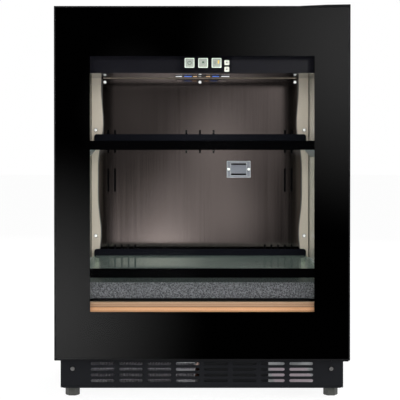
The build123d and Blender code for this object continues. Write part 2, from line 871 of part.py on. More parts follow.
def shelf_pieces(top_z):
    """A glass shelf, and the front and rear trims that wrap its edges."""
    width_span = about(0, shelf_width)
    glass_span = (top_z - shelf_glass, top_z)
    glass_depth = (
        shelf_front_y + front_trim_depth - trim_wrap,
        shelf_back_y - rear_trim_depth + trim_wrap,
    )
    with BuildPart() as glass:
        slab(width_span, glass_depth, glass_span)
    with BuildPart() as trims:
        with BuildSketch(Plane.YZ):
            with Locations((shelf_front_y + front_trim_depth / 2, top_z - front_trim_height / 2)):
                RectangleRounded(front_trim_depth, front_trim_height, trim_edge_radius)
        extrude(amount=shelf_width / 2, both=True)
        with BuildSketch(facing(shelf_back_y)):
            rear_height = rear_trim_rise + shelf_glass + trim_edge_radius
            with Locations((0, top_z + rear_trim_rise - rear_height / 2)):
                Rectangle(shelf_width, rear_height)
            corners = vertices().group_by(Axis.Z)[-1]
            fillet(corners, rear_trim_radius)
        extrude(amount=rear_trim_depth)
        slab(width_span, glass_depth, glass_span, mode=Mode.SUBTRACT)
    return glass, trims


for level, top_z in zip(("upper", "lower"), shelf_heights):
    glass, trims = shelf_pieces(top_z)
    parts[f"{level}_shelf_glass"] = glass
    parts[f"{level}_shelf_trims"] = trims

# Bottle rack on its rails

rail_z = cavity_floor_z + rail_floor_gap
rail_front_y = fascia_y + rack_front_thickness
rail_back_y = step_front_y - panel_sheet - fit_gap
with BuildPart() as rack_rails:
    for side in (-1, 1):
        wall_span = sorted((side * cavity_half, side * (cavity_half - rail_sheet)))
        ledge_span = sorted((side * cavity_half, side * (cavity_half - rail_ledge_width)))
        slab(wall_span, (rail_front_y, rail_back_y), (rail_z, rail_z + rail_height))
        slab(ledge_span, (rail_front_y, rail_back_y), (rail_z, rail_z + rail_sheet))
parts["rack_rails"] = rack_rails

rack_rear_y = rail_back_y - fit_gap
rod_z = rail_z + rail_sheet + fit_gap + rack_rod_radius
wire_z = rod_z + rack_cross_rod_radius + rack_wire_radius - fit_gap
rod_x = rack_front_width / 2 - rack_rod_radius
wire_end_y = rack_rear_y - rack_stop_thickness - fit_gap
with BuildPart() as rack_wires:
    for side in (-1, 1):
        bar_y(side * rod_x, (rail_front_y, wire_end_y), rod_z, rack_rod_radius)
    for n in range(rack_cross_rods):
        share = n / (rack_cross_rods - 1)
        first_y = rail_front_y + 2 * rack_rod_radius
        last_y = wire_end_y - 2 * rack_cross_rod_radius
        bar_x(about(0, 2 * rod_x), first_y + share * (last_y - first_y), rod_z,
              rack_cross_rod_radius)
    wire_pitch = 2 * rod_x / (rack_wire_count + 1)
    for n in range(rack_wire_count):
        bar_y(-rod_x + (n + 1) * wire_pitch,
              (rail_front_y + rack_rod_radius, wire_end_y), wire_z, rack_wire_radius)
    slab(about(0, rack_front_width), (rack_rear_y - rack_stop_thickness, rack_rear_y),
         (rod_z - rack_rod_radius, rod_z - rack_rod_radius + rack_stop_height))
parts["rack_wires"] = rack_wires

rack_front_bottom_z = cavity_floor_z + rack_front_floor_gap
rack_front_top_z = rack_front_bottom_z + rack_front_height
with BuildPart() as rack_front:
    with BuildSketch(Plane.YZ):
        with Locations(
            (fascia_y + rack_front_thickness / 2, (rack_front_bottom_z + rack_front_top_z) / 2)
        ):
            RectangleRounded(rack_front_thickness, rack_front_height, rack_front_radius)
        with Locations((fascia_y, rack_front_top_z - rack_groove_drop)):
            Rectangle(2 * rack_groove_depth, rack_groove_width, mode=Mode.SUBTRACT)
    extrude(amount=rack_front_width / 2, both=True)
parts["rack_front"] = rack_front

# Kick grille

with BuildPart() as kick_grille:
    with BuildSketch(facing(cabinet_front_y)):
        with Locations((0, (base_height + grille_top_z) / 2)):
            Rectangle(grille_width, grille_height)
        corners = vertices().group_by(Axis.Z)[0]
        fillet(corners, grille_corner_radius)
        with Locations((0, grille_slot_centre_z)):
            with GridLocations(grille_slot_pitch_x, grille_slot_pitch_z, grille_slot_columns,
                               grille_slot_rows):
                SlotOverall(grille_slot_length, grille_slot_height, mode=Mode.SUBTRACT)
        with Locations((-grille_screw_x, grille_screw_z), (grille_screw_x, grille_screw_z)):
            Circle(grille_screw_radius + running_fit, mode=Mode.SUBTRACT)
    extrude(amount=grille_thickness)
    slab(about(0, 2 * inner_half), (cabinet_front_y, cabinet_front_y + grille_flange),
         (grille_top_z - grille_thickness, grille_top_z))
    slab(about(0, grille_width - 2 * grille_corner_radius),
         (cabinet_front_y - grille_thickness - grille_lip, cabinet_front_y - grille_thickness),
         (base_height, base_height + grille_lip_height))
parts["kick_grille"] = kick_grille

with BuildPart() as grille_screws:
    for side in (-1, 1):
        head_y = cabinet_front_y - grille_thickness
        bar_y(side * grille_screw_x, (head_y - grille_screw_head_height, head_y), grille_screw_z,
              grille_screw_head_radius)
        bar_y(side * grille_screw_x, (head_y, cabinet_front_y + 2 * pan_sheet), grille_screw_z,
              grille_screw_radius)
    rims = grille_screws.edges().filter_by(GeomType.CIRCLE).group_by(Axis.Y)[0]
    fillet(rims, grille_screw_head_height / 2)
parts["grille_screws"] = grille_screws

# Base pan and levelling feet

foot_places = {
    "front_left_foot": (-foot_x, cabinet_front_y + foot_front_setback),
    "front_right_foot": (foot_x, cabinet_front_y + foot_front_setback),
    "rear_left_foot": (-foot_x, cabinet_back_y - foot_rear_setback),
    "rear_right_foot": (foot_x, cabinet_back_y - foot_rear_setback),
}
mount_places = [
    (
        compressor_x + side_x * (compressor_plate_width / 2 - mount_inset),
        compressor_y + side_y * (compressor_plate_depth / 2 - mount_inset),
    )
    for side_x in (-1, 1)
    for side_y in (-1, 1)
]
with BuildPart() as base_pan:
    slab((-inner_half, inner_half), (cabinet_front_y, cabinet_back_y), (base_height, pan_top_z))
    slab(
        (pan_vent_left_x, pan_vent_right_x),
        (cabinet_front_y + pan_vent_front_setback,
         cabinet_front_y + pan_vent_front_setback + pan_vent_depth),
        (base_height, pan_top_z),
        mode=Mode.SUBTRACT,
    )
    for side in (-1, 1):
        slab(about(side * grille_screw_x, ear_width),
             (cabinet_front_y, cabinet_front_y + pan_sheet),
             (base_height, base_height + ear_height))
        bar_y(side * grille_screw_x, (cabinet_front_y, cabinet_front_y + pan_sheet),
              grille_screw_z, grille_screw_radius + running_fit, mode=Mode.SUBTRACT)
    for x, y in foot_places.values():
        post(x, y, (pan_top_z, pan_top_z + foot_nut_height), foot_nut_radius)
        post(x, y, (base_height, pan_top_z + foot_nut_height), foot_rod_radius + running_fit,
             mode=Mode.SUBTRACT)
parts["base_pan"] = base_pan


def levelling_foot(x, y):
    """Hexagonal foot with its threaded rod, screwed right up under the base pan."""
    with BuildPart() as foot:
        with BuildSketch(Plane.XY):
            with Locations((x, y)):
                RegularPolygon(foot_across_flats / 2, 6, major_radius=False)
        extrude(amount=base_height - fit_gap)
        chamfer(foot.faces().sort_by(Axis.Z)[0].edges(), foot_chamfer)
        post(x, y, (base_height - fit_gap, base_height - fit_gap + foot_rod_length),
             foot_rod_radius)
    return foot


for foot_name, (x, y) in foot_places.items():
    parts[foot_name] = levelling_foot(x, y)

# Compressor on its rubber mounts, with the drip tray on top

plate_bottom_z = pan_top_z + mount_height
can_bottom_z = plate_bottom_z + compressor_plate
can_top_z = can_bottom_z + compressor_height
with BuildPart() as compressor:
    post(compressor_x, compressor_y, (can_bottom_z, can_top_z), compressor_radius)
    rims = compressor.edges().filter_by(GeomType.CIRCLE).group_by(Axis.Z)
    fillet(rims[-1], compressor_dome)
    seam_z = can_bottom_z + compressor_seam_height
    with Locations((compressor_x, compressor_y, seam_z)):
        Cylinder(compressor_radius + compressor_seam_radius, 2 * compressor_seam_radius)
    slab(about(compressor_x, compressor_plate_width), about(compressor_y, compressor_plate_depth),
         (plate_bottom_z, can_bottom_z))
    for x, y in mount_places:
        post(x, y, (plate_bottom_z, can_bottom_z), mount_neck_radius + fit_gap,
             mode=Mode.SUBTRACT)
parts["compressor"] = compressor

with BuildPart() as compressor_mounts:
    for x, y in mount_places:
        post(x, y, (pan_top_z, plate_bottom_z), mount_radius)
        post(x, y, (plate_bottom_z, can_bottom_z + compressor_plate), mount_neck_radius)
parts["compressor_mounts"] = compressor_mounts

with BuildPart() as drip_tray:
    with BuildSketch(Plane.XY.offset(can_top_z)):
        with Locations((compressor_x, compressor_y)):
            RectangleRounded(tray_width, tray_depth, tray_corner_radius)
    extrude(amount=tray_height)
    with BuildSketch(Plane.XY.offset(can_top_z + tray_wall)):
        with Locations((compressor_x, compressor_y)):
            RectangleRounded(tray_width - 2 * tray_wall, tray_depth - 2 * tray_wall,
                             tray_corner_radius - tray_wall)
    extrude(amount=tray_height, mode=Mode.SUBTRACT)
parts["drip_tray"] = drip_tray

# Condenser and its fan

condenser_front_y = cabinet_front_y + condenser_front_setback
condenser_back_y = condenser_front_y + condenser_depth
condenser_top_z = pan_top_z + condenser_height
condenser_middle_x = (condenser_left_x + condenser_right_x) / 2
condenser_rows_z = [
    pan_top_z + (row + 0.5) * condenser_height / condenser_tube_rows
    for row in range(condenser_tube_rows)
]
condenser_columns_y = [
    condenser_front_y + (column + 0.5) * condenser_depth / condenser_tube_columns
    for column in range(condenser_tube_columns)
]
with BuildPart() as condenser:
    fin_count = int((condenser_width - condenser_fin_pitch) / condenser_fin_pitch)
    fin_lift = condenser_tube_radius
    with Locations(
        (condenser_middle_x, (condenser_front_y + condenser_back_y) / 2,
         (pan_top_z + fin_lift + condenser_top_z) / 2)
    ):
        with GridLocations(condenser_fin_pitch, 0, fin_count, 1):
            Box(condenser_fin, condenser_depth, condenser_height - fin_lift)
    for x in (condenser_left_x, condenser_right_x - condenser_end_plate):
        slab((x, x + condenser_end_plate), (condenser_front_y, condenser_back_y),
             (pan_top_z, condenser_top_z))
    for y in condenser_columns_y:
        for z in condenser_rows_z:
            bar_x((condenser_left_x - fit_gap, condenser_right_x + fit_gap), y, z,
                  condenser_tube_radius)
parts["condenser"] = condenser

shroud_back_y = deck_riser_y + fit_gap + fan_frame_depth
shroud_fan_z = pan_top_z + shroud_height / 2
with BuildPart() as condenser_fan_shroud:
    with BuildSketch(facing(shroud_back_y)):
        with Locations((shroud_centre_x, shroud_fan_z)):
            Rectangle(shroud_width, shroud_height)
            Circle(fan_bore_radius, mode=Mode.SUBTRACT)
    extrude(amount=shroud_sheet)
    with BuildSketch(facing(shroud_back_y)):
        with Locations((shroud_centre_x, shroud_fan_z)):
            Circle(fan_bore_radius + shroud_sheet)
            Circle(fan_bore_radius, mode=Mode.SUBTRACT)
    extrude(amount=fan_frame_depth)
    fan_spider(shroud_centre_x, shroud_fan_z, shroud_back_y - fan_strut_depth)
parts["condenser_fan_shroud"] = condenser_fan_shroud

parts["condenser_fan"] = fan_rotor(
    shroud_centre_x,
    shroud_fan_z,
    shroud_back_y - fan_strut_depth,
    shroud_back_y - fan_frame_depth + fan_tip_gap,
)

# Refrigerant tubes: the discharge line from the compressor to the condenser, the liquid line through
# its drier up to the deck over the machine room, and the suction line back to the compressor.

joint_x = condenser_right_x + fit_gap
joint_y = condenser_columns_y[-1]
liquid_z = condenser_rows_z[0]
discharge_z = condenser_rows_z[-1]
deck_entry_y = deck_riser_y + 2 * drier_radius
drier_front_y = condenser_back_y + drier_place_share * (deck_entry_y - condenser_back_y)
drier_back_y = drier_front_y + drier_length_share * (deck_entry_y - condenser_back_y)
suction_z = pan_top_z + suction_height
can_front_y = compressor_y - compressor_radius - fit_gap
discharge_turn_y = condenser_back_y + discharge_turn_share * (can_front_y - condenser_back_y)
can_left_x = compressor_x - compressor_radius - fit_gap
tube_routes = (
    (
        (joint_x, joint_y, discharge_z),
        (liquid_line_x, joint_y, discharge_z),
        (liquid_line_x, discharge_turn_y, discharge_z),
        (compressor_x, discharge_turn_y, discharge_z),
        (compressor_x, can_front_y, discharge_z),
    ),
    (
        (joint_x, joint_y, liquid_z),
        (liquid_line_x, joint_y, liquid_z),
        (liquid_line_x, drier_front_y, liquid_z),
    ),
    (
        (liquid_line_x, drier_back_y, liquid_z),
        (liquid_line_x, deck_entry_y, liquid_z),
        (liquid_line_x, deck_entry_y, deck_high_z),
    ),
    (
        (suction_x, compressor_y, deck_high_z),
        (suction_x, compressor_y, suction_z),
        (can_left_x, compressor_y, suction_z),
    ),
)
with BuildPart() as refrigerant_tubes:
    for route in tube_routes:
        with BuildLine() as path:
            FilletPolyline(*route, radius=2 * tube_radius)
        with BuildSketch(Plane(path.line @ 0, z_dir=path.line % 0)):
            Circle(tube_radius)
        sweep(path=path.line)
    bar_y(liquid_line_x, (drier_front_y, drier_back_y), liquid_z, drier_radius)
    ends = refrigerant_tubes.edges().filter_by(GeomType.CIRCLE)
    ends = [edge for edge in ends if abs(edge.radius - drier_radius) < running_fit]
    fillet(ends, drier_radius - tube_radius - fit_gap)
parts["refrigerant_tubes"] = refrigerant_tubes

# Electrical box and mains gland

with BuildPart() as electrical_box:
    box_front_y = cabinet_front_y + box_front_setback
    with BuildSketch(Plane.XY.offset(pan_top_z)):
        with Locations((box_left_x + box_width / 2, box_front_y + box_depth / 2)):
            RectangleRounded(box_width, box_depth, box_radius)
    extrude(amount=box_height)
    lid_z = pan_top_z + box_height - 4 * box_lid_groove
    with BuildSketch(Plane.XY.offset(lid_z)):
        with Locations((box_left_x + box_width / 2, box_front_y + box_depth / 2)):
            RectangleRounded(box_width, box_depth, box_radius)
            RectangleRounded(box_width - box_lid_groove, box_depth - box_lid_groove,
                             box_radius - box_lid_groove / 2, mode=Mode.SUBTRACT)
    extrude(amount=box_lid_groove, mode=Mode.SUBTRACT)
parts["electrical_box"] = electrical_box

with BuildPart() as mains_gland:
    bracket_back_y = cabinet_back_y - gland_length / 2
    slab(about(gland_x, gland_bracket_width),
         (bracket_back_y - gland_bracket_thickness, bracket_back_y),
         (pan_top_z, pan_top_z + gland_bracket_height))
    bar_y(gland_x, (cabinet_back_y - gland_length, cabinet_back_y), gland_height_z, gland_radius)
    bar_y(gland_x, (cabinet_back_y - gland_dimple_depth, cabinet_back_y), gland_height_z,
          gland_dimple_radius, mode=Mode.SUBTRACT)
parts["mains_gland"] = mains_gland

# Hinges

axis_place = (hinge_axis_x, hinge_axis_y)
plate_right_x = hinge_axis_x + hinge_bush_radius
plate_left_x = plate_right_x - hinge_plate_width
plate_top_z = cabinet_top_z + hinge_plate
plate_back_y = cabinet_front_y + hinge_plate_back
hinge_screw_places = [
    (plate_left_x + hinge_screw_inset, plate_back_y - hinge_screw_inset),
    (cabinet_half - hinge_screw_inset, plate_back_y - hinge_screw_inset),
]
with BuildPart() as top_hinge_bracket:
    slab((plate_left_x, cabinet_half), (cabinet_front_y, plate_back_y),
         (cabinet_top_z, plate_top_z))
    slab((plate_left_x, plate_right_x), (cabinet_front_y - hinge_plate_front, cabinet_front_y),
         (cabinet_top_z, plate_top_z))
    post(*axis_place, (cabinet_top_z - hinge_bush_length, cabinet_top_z), hinge_pin_radius)
    for x, y in hinge_screw_places:
        post(x, y, (cabinet_top_z, plate_top_z), hinge_screw_head_radius + running_fit,
             mode=Mode.SUBTRACT)
parts["top_hinge_bracket"] = top_hinge_bracket

cover_right_x = door_width / 2
cover_left_x = cover_right_x - hinge_cover_width
cover_front = door_front_y + door_corner_radius
with BuildPart() as hinge_cover:
    with BuildSketch(facing(plate_back_y + fit_gap + hinge_plate)):
        with BuildLine():
            Polyline(
                (cover_left_x, cabinet_top_z),
                (cover_right_x, cabinet_top_z),
                (cover_right_x, cabinet_top_z + hinge_cover_rise),
                (cover_right_x - hinge_cover_shoulder, cabinet_top_z + hinge_cover_shoulder_rise),
                close=True,
            )
        make_face()
    extrude(amount=plate_back_y + fit_gap + hinge_plate - cover_front)
    post(hinge_axis_x, hinge_axis_y,
         (cabinet_top_z + hinge_cover_shoulder_rise,
          cabinet_top_z + hinge_cover_rise + hinge_cap_height), hinge_cap_radius)
    slab((plate_left_x - fit_gap, plate_right_x + fit_gap),
         (cabinet_front_y - hinge_plate_front - fit_gap, plate_back_y + fit_gap),
         (cabinet_top_z, plate_top_z), mode=Mode.SUBTRACT)
parts["hinge_cover"] = hinge_cover

bracket_top_z = door_bottom_z - hinge_gap
bracket_bottom_z = bracket_top_z - bottom_bracket_plate
bracket_back_y = cabinet_front_y
bracket_screw_x = plate_right_x - bottom_bracket_width + hinge_screw_inset / 2
bracket_screw_z = bracket_top_z + bottom_bracket_height - hinge_screw_inset / 2
with BuildPart() as bottom_hinge_bracket:
    slab((plate_right_x - bottom_bracket_width, plate_right_x),
         (hinge_axis_y - bottom_bracket_front, bracket_back_y), (bracket_bottom_z, bracket_top_z))
    slab((plate_right_x - bottom_bracket_width, inner_half),
         (bracket_back_y - bottom_bracket_plate, bracket_back_y),
         (bracket_bottom_z, bracket_top_z + bottom_bracket_height))
    post(*axis_place, (bracket_top_z, bracket_top_z + hinge_bush_length), hinge_pin_radius)
    for x in (bracket_screw_x, inner_half - hinge_screw_inset / 2):
        bar_y(x, (bracket_back_y - bottom_bracket_plate, bracket_back_y), bracket_screw_z,
              hinge_screw_radius + running_fit, mode=Mode.SUBTRACT)
parts["bottom_hinge_bracket"] = bottom_hinge_bracket

with BuildPart() as hinge_screws:
    for x, y in hinge_screw_places:
        post(x, y, (cabinet_top_z, plate_top_z), hinge_screw_head_radius)
    for x in (bracket_screw_x, inner_half - hinge_screw_inset / 2):
        head_y = bracket_back_y - bottom_bracket_plate
        bar_y(x, (head_y - hinge_plate, head_y), bracket_screw_z, hinge_screw_head_radius)
        bar_y(x, (head_y, bracket_back_y), bracket_screw_z, hinge_screw_radius)
parts["hinge_screws"] = hinge_screws

# Door

pocket_width = door_width - 2 * door_frame_lip
pocket_height = door_height - 2 * door_frame_lip
spacer_grow = spacer_setback + spacer_width
bush_spans = (
    (door_top_z - hinge_bush_length, door_top_z),
    (door_bottom_z, door_bottom_z + hinge_bush_length),
)
with BuildPart() as door_frame:
    with BuildSketch(facing(door_back_y)):
        with Locations((0, door_middle_z)):
            Rectangle(door_width, door_height)
        window_rectangle(door_frame_cover, mode=Mode.SUBTRACT)
    extrude(amount=door_thickness)
    fillet(door_frame.faces().sort_by(Axis.X)[0].edges().filter_by(Axis.Z), door_corner_radius)
    fillet(door_frame.faces().sort_by(Axis.X)[-1].edges().filter_by(Axis.Z), door_corner_radius)
    slab(about(0, pocket_width), (door_front_y, border_back_y), about(door_middle_z, pocket_height),
         mode=Mode.SUBTRACT)
    with BuildSketch(facing(inner_glass_back_y)):
        window_rectangle(spacer_grow + fit_gap)
    extrude(amount=inner_glass_back_y - border_back_y, mode=Mode.SUBTRACT)
    for z_span in bush_spans:
        post(*axis_place, z_span, hinge_bush_radius + running_fit, mode=Mode.SUBTRACT)
parts["door_frame"] = door_frame

with BuildPart() as door_outer_glass:
    slab(about(0, pocket_width - 2 * running_fit), (door_front_y, outer_glass_back_y),
         about(door_middle_z, pocket_height - 2 * running_fit))
parts["door_outer_glass"] = door_outer_glass

with BuildPart() as door_border:
    with BuildSketch(facing(border_back_y)):
        with Locations((0, door_middle_z)):
            Rectangle(pocket_width - 2 * running_fit, pocket_height - 2 * running_fit)
        window_rectangle(0, mode=Mode.SUBTRACT)
    extrude(amount=border_thickness)
parts["door_border"] = door_border

with BuildPart() as glass_spacer:
    with BuildSketch(facing(spacer_back_y)):
        window_rectangle(spacer_grow)
        window_rectangle(spacer_setback, mode=Mode.SUBTRACT)
    extrude(amount=spacer_depth)
parts["glass_spacer"] = glass_spacer

with BuildPart() as door_inner_glass:
    with BuildSketch(facing(inner_glass_back_y)):
        window_rectangle(spacer_grow)
    extrude(amount=glass_thickness)
parts["door_inner_glass"] = door_inner_glass


def gasket_ring(width):
    """Ring of the given width in a front-facing sketch, round the cabinet's opening."""
    inset = (gasket_width - width) / 2
    centre = (0, (cavity_floor_z + cavity_top_z) / 2)
    outer_grow = 2 * (gasket_offset + gasket_width - inset)
    inner_grow = 2 * (gasket_offset + inset)
    with Locations(centre):
        Rectangle(cavity_width + outer_grow, cavity_height + outer_grow)
        Rectangle(cavity_width + inner_grow, cavity_height + inner_grow, mode=Mode.SUBTRACT)


with BuildPart() as door_gasket:
    flange_back_y = door_back_y + gasket_flange
    neck_back_y = flange_back_y + gasket_neck_depth
    bulb_back_y = cabinet_front_y - fit_gap
    with BuildSketch(facing(flange_back_y)):
        gasket_ring(gasket_width)
    extrude(amount=gasket_flange)
    with BuildSketch(facing(neck_back_y)):
        gasket_ring(gasket_neck)
    extrude(amount=gasket_neck_depth)
    with BuildSketch(facing(bulb_back_y)):
        gasket_ring(gasket_width)
    extrude(amount=bulb_back_y - neck_back_y)
parts["door_gasket"] = door_gasket

with BuildPart() as hinge_bushes:
    for z_span in bush_spans:
        post(*axis_place, z_span, hinge_bush_radius)
        post(*axis_place, z_span, hinge_pin_radius + running_fit, mode=Mode.SUBTRACT)
parts["hinge_bushes"] = hinge_bushes

# Labels and files

os.makedirs("parts", exist_ok=True)
for name, builder in parts.items():
    builder.part.label = name
    export_step(builder.part, f"parts/{name}.step")
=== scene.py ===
"""Looks of the under-counter beverage cooler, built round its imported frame.

Every size is in metres in the frame of the model: +X to the right, +Y to the back, +Z up,
with the origin on the floor under the middle of the cooler.
"""

from __future__ import annotations

import logging
import math
from contextlib import contextmanager
from dataclasses import dataclass
from enum import Enum
from functools import partial
from typing import Any, Callable, Iterator, Sequence

import bmesh
import bpy
from mathutils import Matrix, Vector

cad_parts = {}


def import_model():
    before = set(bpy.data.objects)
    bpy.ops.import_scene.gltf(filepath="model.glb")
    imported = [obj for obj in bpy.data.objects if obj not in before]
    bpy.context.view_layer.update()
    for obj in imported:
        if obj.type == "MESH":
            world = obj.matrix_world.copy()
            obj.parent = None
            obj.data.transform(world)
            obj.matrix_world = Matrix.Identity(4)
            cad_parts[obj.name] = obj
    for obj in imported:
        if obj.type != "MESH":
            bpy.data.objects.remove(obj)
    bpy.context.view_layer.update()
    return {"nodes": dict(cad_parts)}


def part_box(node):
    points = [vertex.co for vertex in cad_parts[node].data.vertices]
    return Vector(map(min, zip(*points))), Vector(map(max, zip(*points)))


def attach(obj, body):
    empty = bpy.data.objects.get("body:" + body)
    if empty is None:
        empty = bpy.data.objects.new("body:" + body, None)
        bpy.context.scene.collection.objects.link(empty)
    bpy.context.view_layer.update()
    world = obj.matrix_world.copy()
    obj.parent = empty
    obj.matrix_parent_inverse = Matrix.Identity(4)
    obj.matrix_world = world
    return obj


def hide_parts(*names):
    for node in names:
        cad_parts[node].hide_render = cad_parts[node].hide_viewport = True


log = logging.getLogger("beverage_cooler")

Pair = tuple[float, float]
Triple = tuple[float, float, float]
Quad = tuple[float, float, float, float]
Piece = bpy.types.Object
Tree = bpy.types.NodeTree
Node = bpy.types.Node
Socket = bpy.types.NodeSocket

MM = 0.001
QUARTER_TURN = math.pi / 2
FACING_FRONT = Matrix.Rotation(QUARTER_TURN, 4, "X")
FACING_BACK = Matrix.Rotation(-QUARTER_TURN, 4, "X")
SIDES = (-1, 1)
SQUARE_ON = 0.95  # Least share of a face's normal along the way that it looks
WHITE = (1.0, 1.0, 1.0, 1.0)


def linear(code: str) -> Quad:
    """Turns an sRGB hex colour into linear light.

    Args:
        code: A hash and six hex digits.

    Returns:
        Red, green, blue and an alpha of one.
    """
    shares = [int(code[n:n + 2], 16) / 255 for n in (1, 3, 5)]
    red, green, blue = (
        c / 12.92 if c <= 0.04045 else ((c + 0.055) / 1.055) ** 2.4 for c in shares)
    return red, green, blue, 1.0


def add_node(
    tree: Tree, kind: str, settings: dict[str | int, Any] | None = None,
    links: dict[str | int, Socket | Node] | None = None,
) -> Node:
    """Adds one shader node with its settings and its incoming links.

    Args:
        tree: The node tree that takes it.
        kind: Blender's name for the node's type, without its first word ShaderNode.
        settings: Values for the node's own properties or its inputs, by name or number.
        links: What to join to its inputs, by name or number: a socket, or a node for the
            first of its outputs.

    Returns:
        The new node.
    """
    node = tree.nodes.new("ShaderNode" + kind)
    for key, value in (settings or {}).items():
        if isinstance(key, str) and hasattr(node, key):
            setattr(node, key, value)
        else:
            node.inputs[key].default_value = value
    for key, source in (links or {}).items():
        socket = source.outputs[0] if isinstance(source, Node) else source
        tree.links.new(socket, node.inputs[key])
    return node


def blank_tree(holder: bpy.types.Material | bpy.types.World) -> Tree:
    """Turns nodes on for a material or world and empties its tree.

    Args:
        holder: The material or world.

    Returns:
        Its empty tree.
    """
    holder.use_nodes = True
    holder.node_tree.nodes.clear()
    return holder.node_tree


def per_metre(size_mm: float | Triple) -> Triple:
    """How many grains fit a metre along X, Y and Z, from their size in millimetres."""
    sizes = size_mm if isinstance(size_mm, tuple) else (size_mm,) * 3
    return tuple(1000.0 / size for size in sizes)


def soft_ball(tree: Tree, place: Socket, centre: Triple, scale: Triple) -> Socket:
    """Draws a ball whose value falls from one at its centre to nothing at its edge.

    Args:
        tree: The tree that takes its nodes.
        place: The points, or the directions of the rays, that it is drawn on.
        centre: The middle of the ball.
        scale: One over its reach along each axis.

    Returns:
        The value there.
    """
    shift = tuple(-at * share for at, share in zip(centre, scale))
    moved = add_node(tree, "Mapping", {"Scale": scale, "Location": shift}, {"Vector": place})
    ball = add_node(tree, "TexGradient", {"gradient_type": "SPHERICAL"}, {"Vector": moved})
    return ball.outputs["Fac"]


def seen_by_eye(tree: Tree, ray: Node) -> Node:
    """Gives one to a ray from the eye, straight or through glass, and else nothing."""
    seen = {0: ray.outputs["Is Camera Ray"], 1: ray.outputs["Is Transmission Ray"]}
    return add_node(tree, "Math", {"operation": "MAXIMUM"}, seen)


# Finishes


class Grain(Enum):
    """The textures that a surface's grain is drawn with."""

    CLOUDS = "TexNoise"
    CELLS = "TexVoronoi"


@dataclass(frozen=True)
class Surface:
    """A named material, whose nodes each kind of surface draws in its own way."""

    name: str  # What the real surface is

    def material(self) -> bpy.types.Material:
        """Returns the surface's material, made once."""
        made = bpy.data.materials.get(self.name)
        if made is None:
            made = bpy.data.materials.new(self.name)
            self.draw(blank_tree(made))
        return made

    def draw(self, tree: Tree) -> None:
        """Builds the surface's nodes in an empty tree."""
        raise NotImplementedError


@dataclass(frozen=True)
class Finish(Surface):
    """An opaque surface with a fine grain in its colour, gloss and relief."""

    light: str  # Its colour on the high side of the grain, as sRGB hex
    dark: str  # Its colour on the low side of the grain, as sRGB hex
    grain_mm: float | Triple  # Size of one grain, or its sizes along X, Y and Z
    roughness: Pair  # Roughness on the low and the high side of the grain
    relief_mm: float = 0.0
    relief_strength: float = 0.5  # How much of the relief shows
    metallic: float = 0.0  # One for bare metal
    ior: float = 1.5  # Refractive index of what isn't metal
    glow: float = 0.0  # Strength of its own light, for lit caps and lamps, and a painted highlight on the bright screws
    coat: float = 0.0  # Weight of a clear coat
    brushed: float = 0.0  # Share of stretch across the brushing, for brushed metal
    grain: Grain = Grain.CLOUDS
    detail: float = 3.0  # How many finer layers the grain has, where it is clouds
    far_painted_reflection: str = ""  # Its colour behind the middle of the cooler, where that differs, as sRGB hex: a painted reflection

    def draw(self, tree: Tree) -> None:
        """Builds the grain and what it does to colour, gloss and relief."""
        add = partial(add_node, tree)
        place = add("TexCoord").outputs["Object"]
        scaled = add("Mapping", {"Scale": per_metre(self.grain_mm)}, {"Vector": place})
        if self.grain is Grain.CLOUDS:
            clouds = {"Scale": 1.0, "Detail": self.detail}
            height = add(self.grain.value, clouds, {"Vector": scaled}).outputs["Fac"]
        else:
            cells = add(self.grain.value, {"Scale": 1.0}, {"Vector": scaled})
            height = cells.outputs["Distance"]
        tint = add(
            "Mix", {"data_type": "RGBA", 6: linear(self.dark), 7: linear(self.light)},
            {0: height})
        # Painted reflection: behind the middle of the cooler the colour turns to the lighter far
        # colour
        if self.far_painted_reflection:
            depth = add("SeparateXYZ", {}, {"Vector": place}).outputs["Y"]
            behind = add("Math", {"operation": "GREATER_THAN", 1: 0.0}, {0: depth})
            tint = add(
                "Mix", {"data_type": "RGBA", 7: linear(self.far_painted_reflection)},
                {0: behind, 6: tint.outputs[2]})
        gloss = add(
            "MapRange", {"From Min": 0.25, "From Max": 0.75, "To Min": self.roughness[0],
                         "To Max": self.roughness[1]}, {"Value": height})
        links = {"Base Color": tint.outputs[2], "Roughness": gloss}
        if self.relief_mm:
            links["Normal"] = add(
                "Bump", {"Strength": self.relief_strength, "Distance": self.relief_mm * MM},
                {"Height": height})
        if self.brushed:
            links["Tangent"] = add("Tangent", {"direction_type": "RADIAL", "axis": "Z"})
        surface = add(
            "BsdfPrincipled",
            {"Metallic": self.metallic, "IOR": self.ior, "Coat Weight": self.coat,
             "Anisotropic": self.brushed, "Emission Color": linear(self.light),
             "Emission Strength": self.glow}, links)
        add("OutputMaterial", {}, {"Surface": surface})


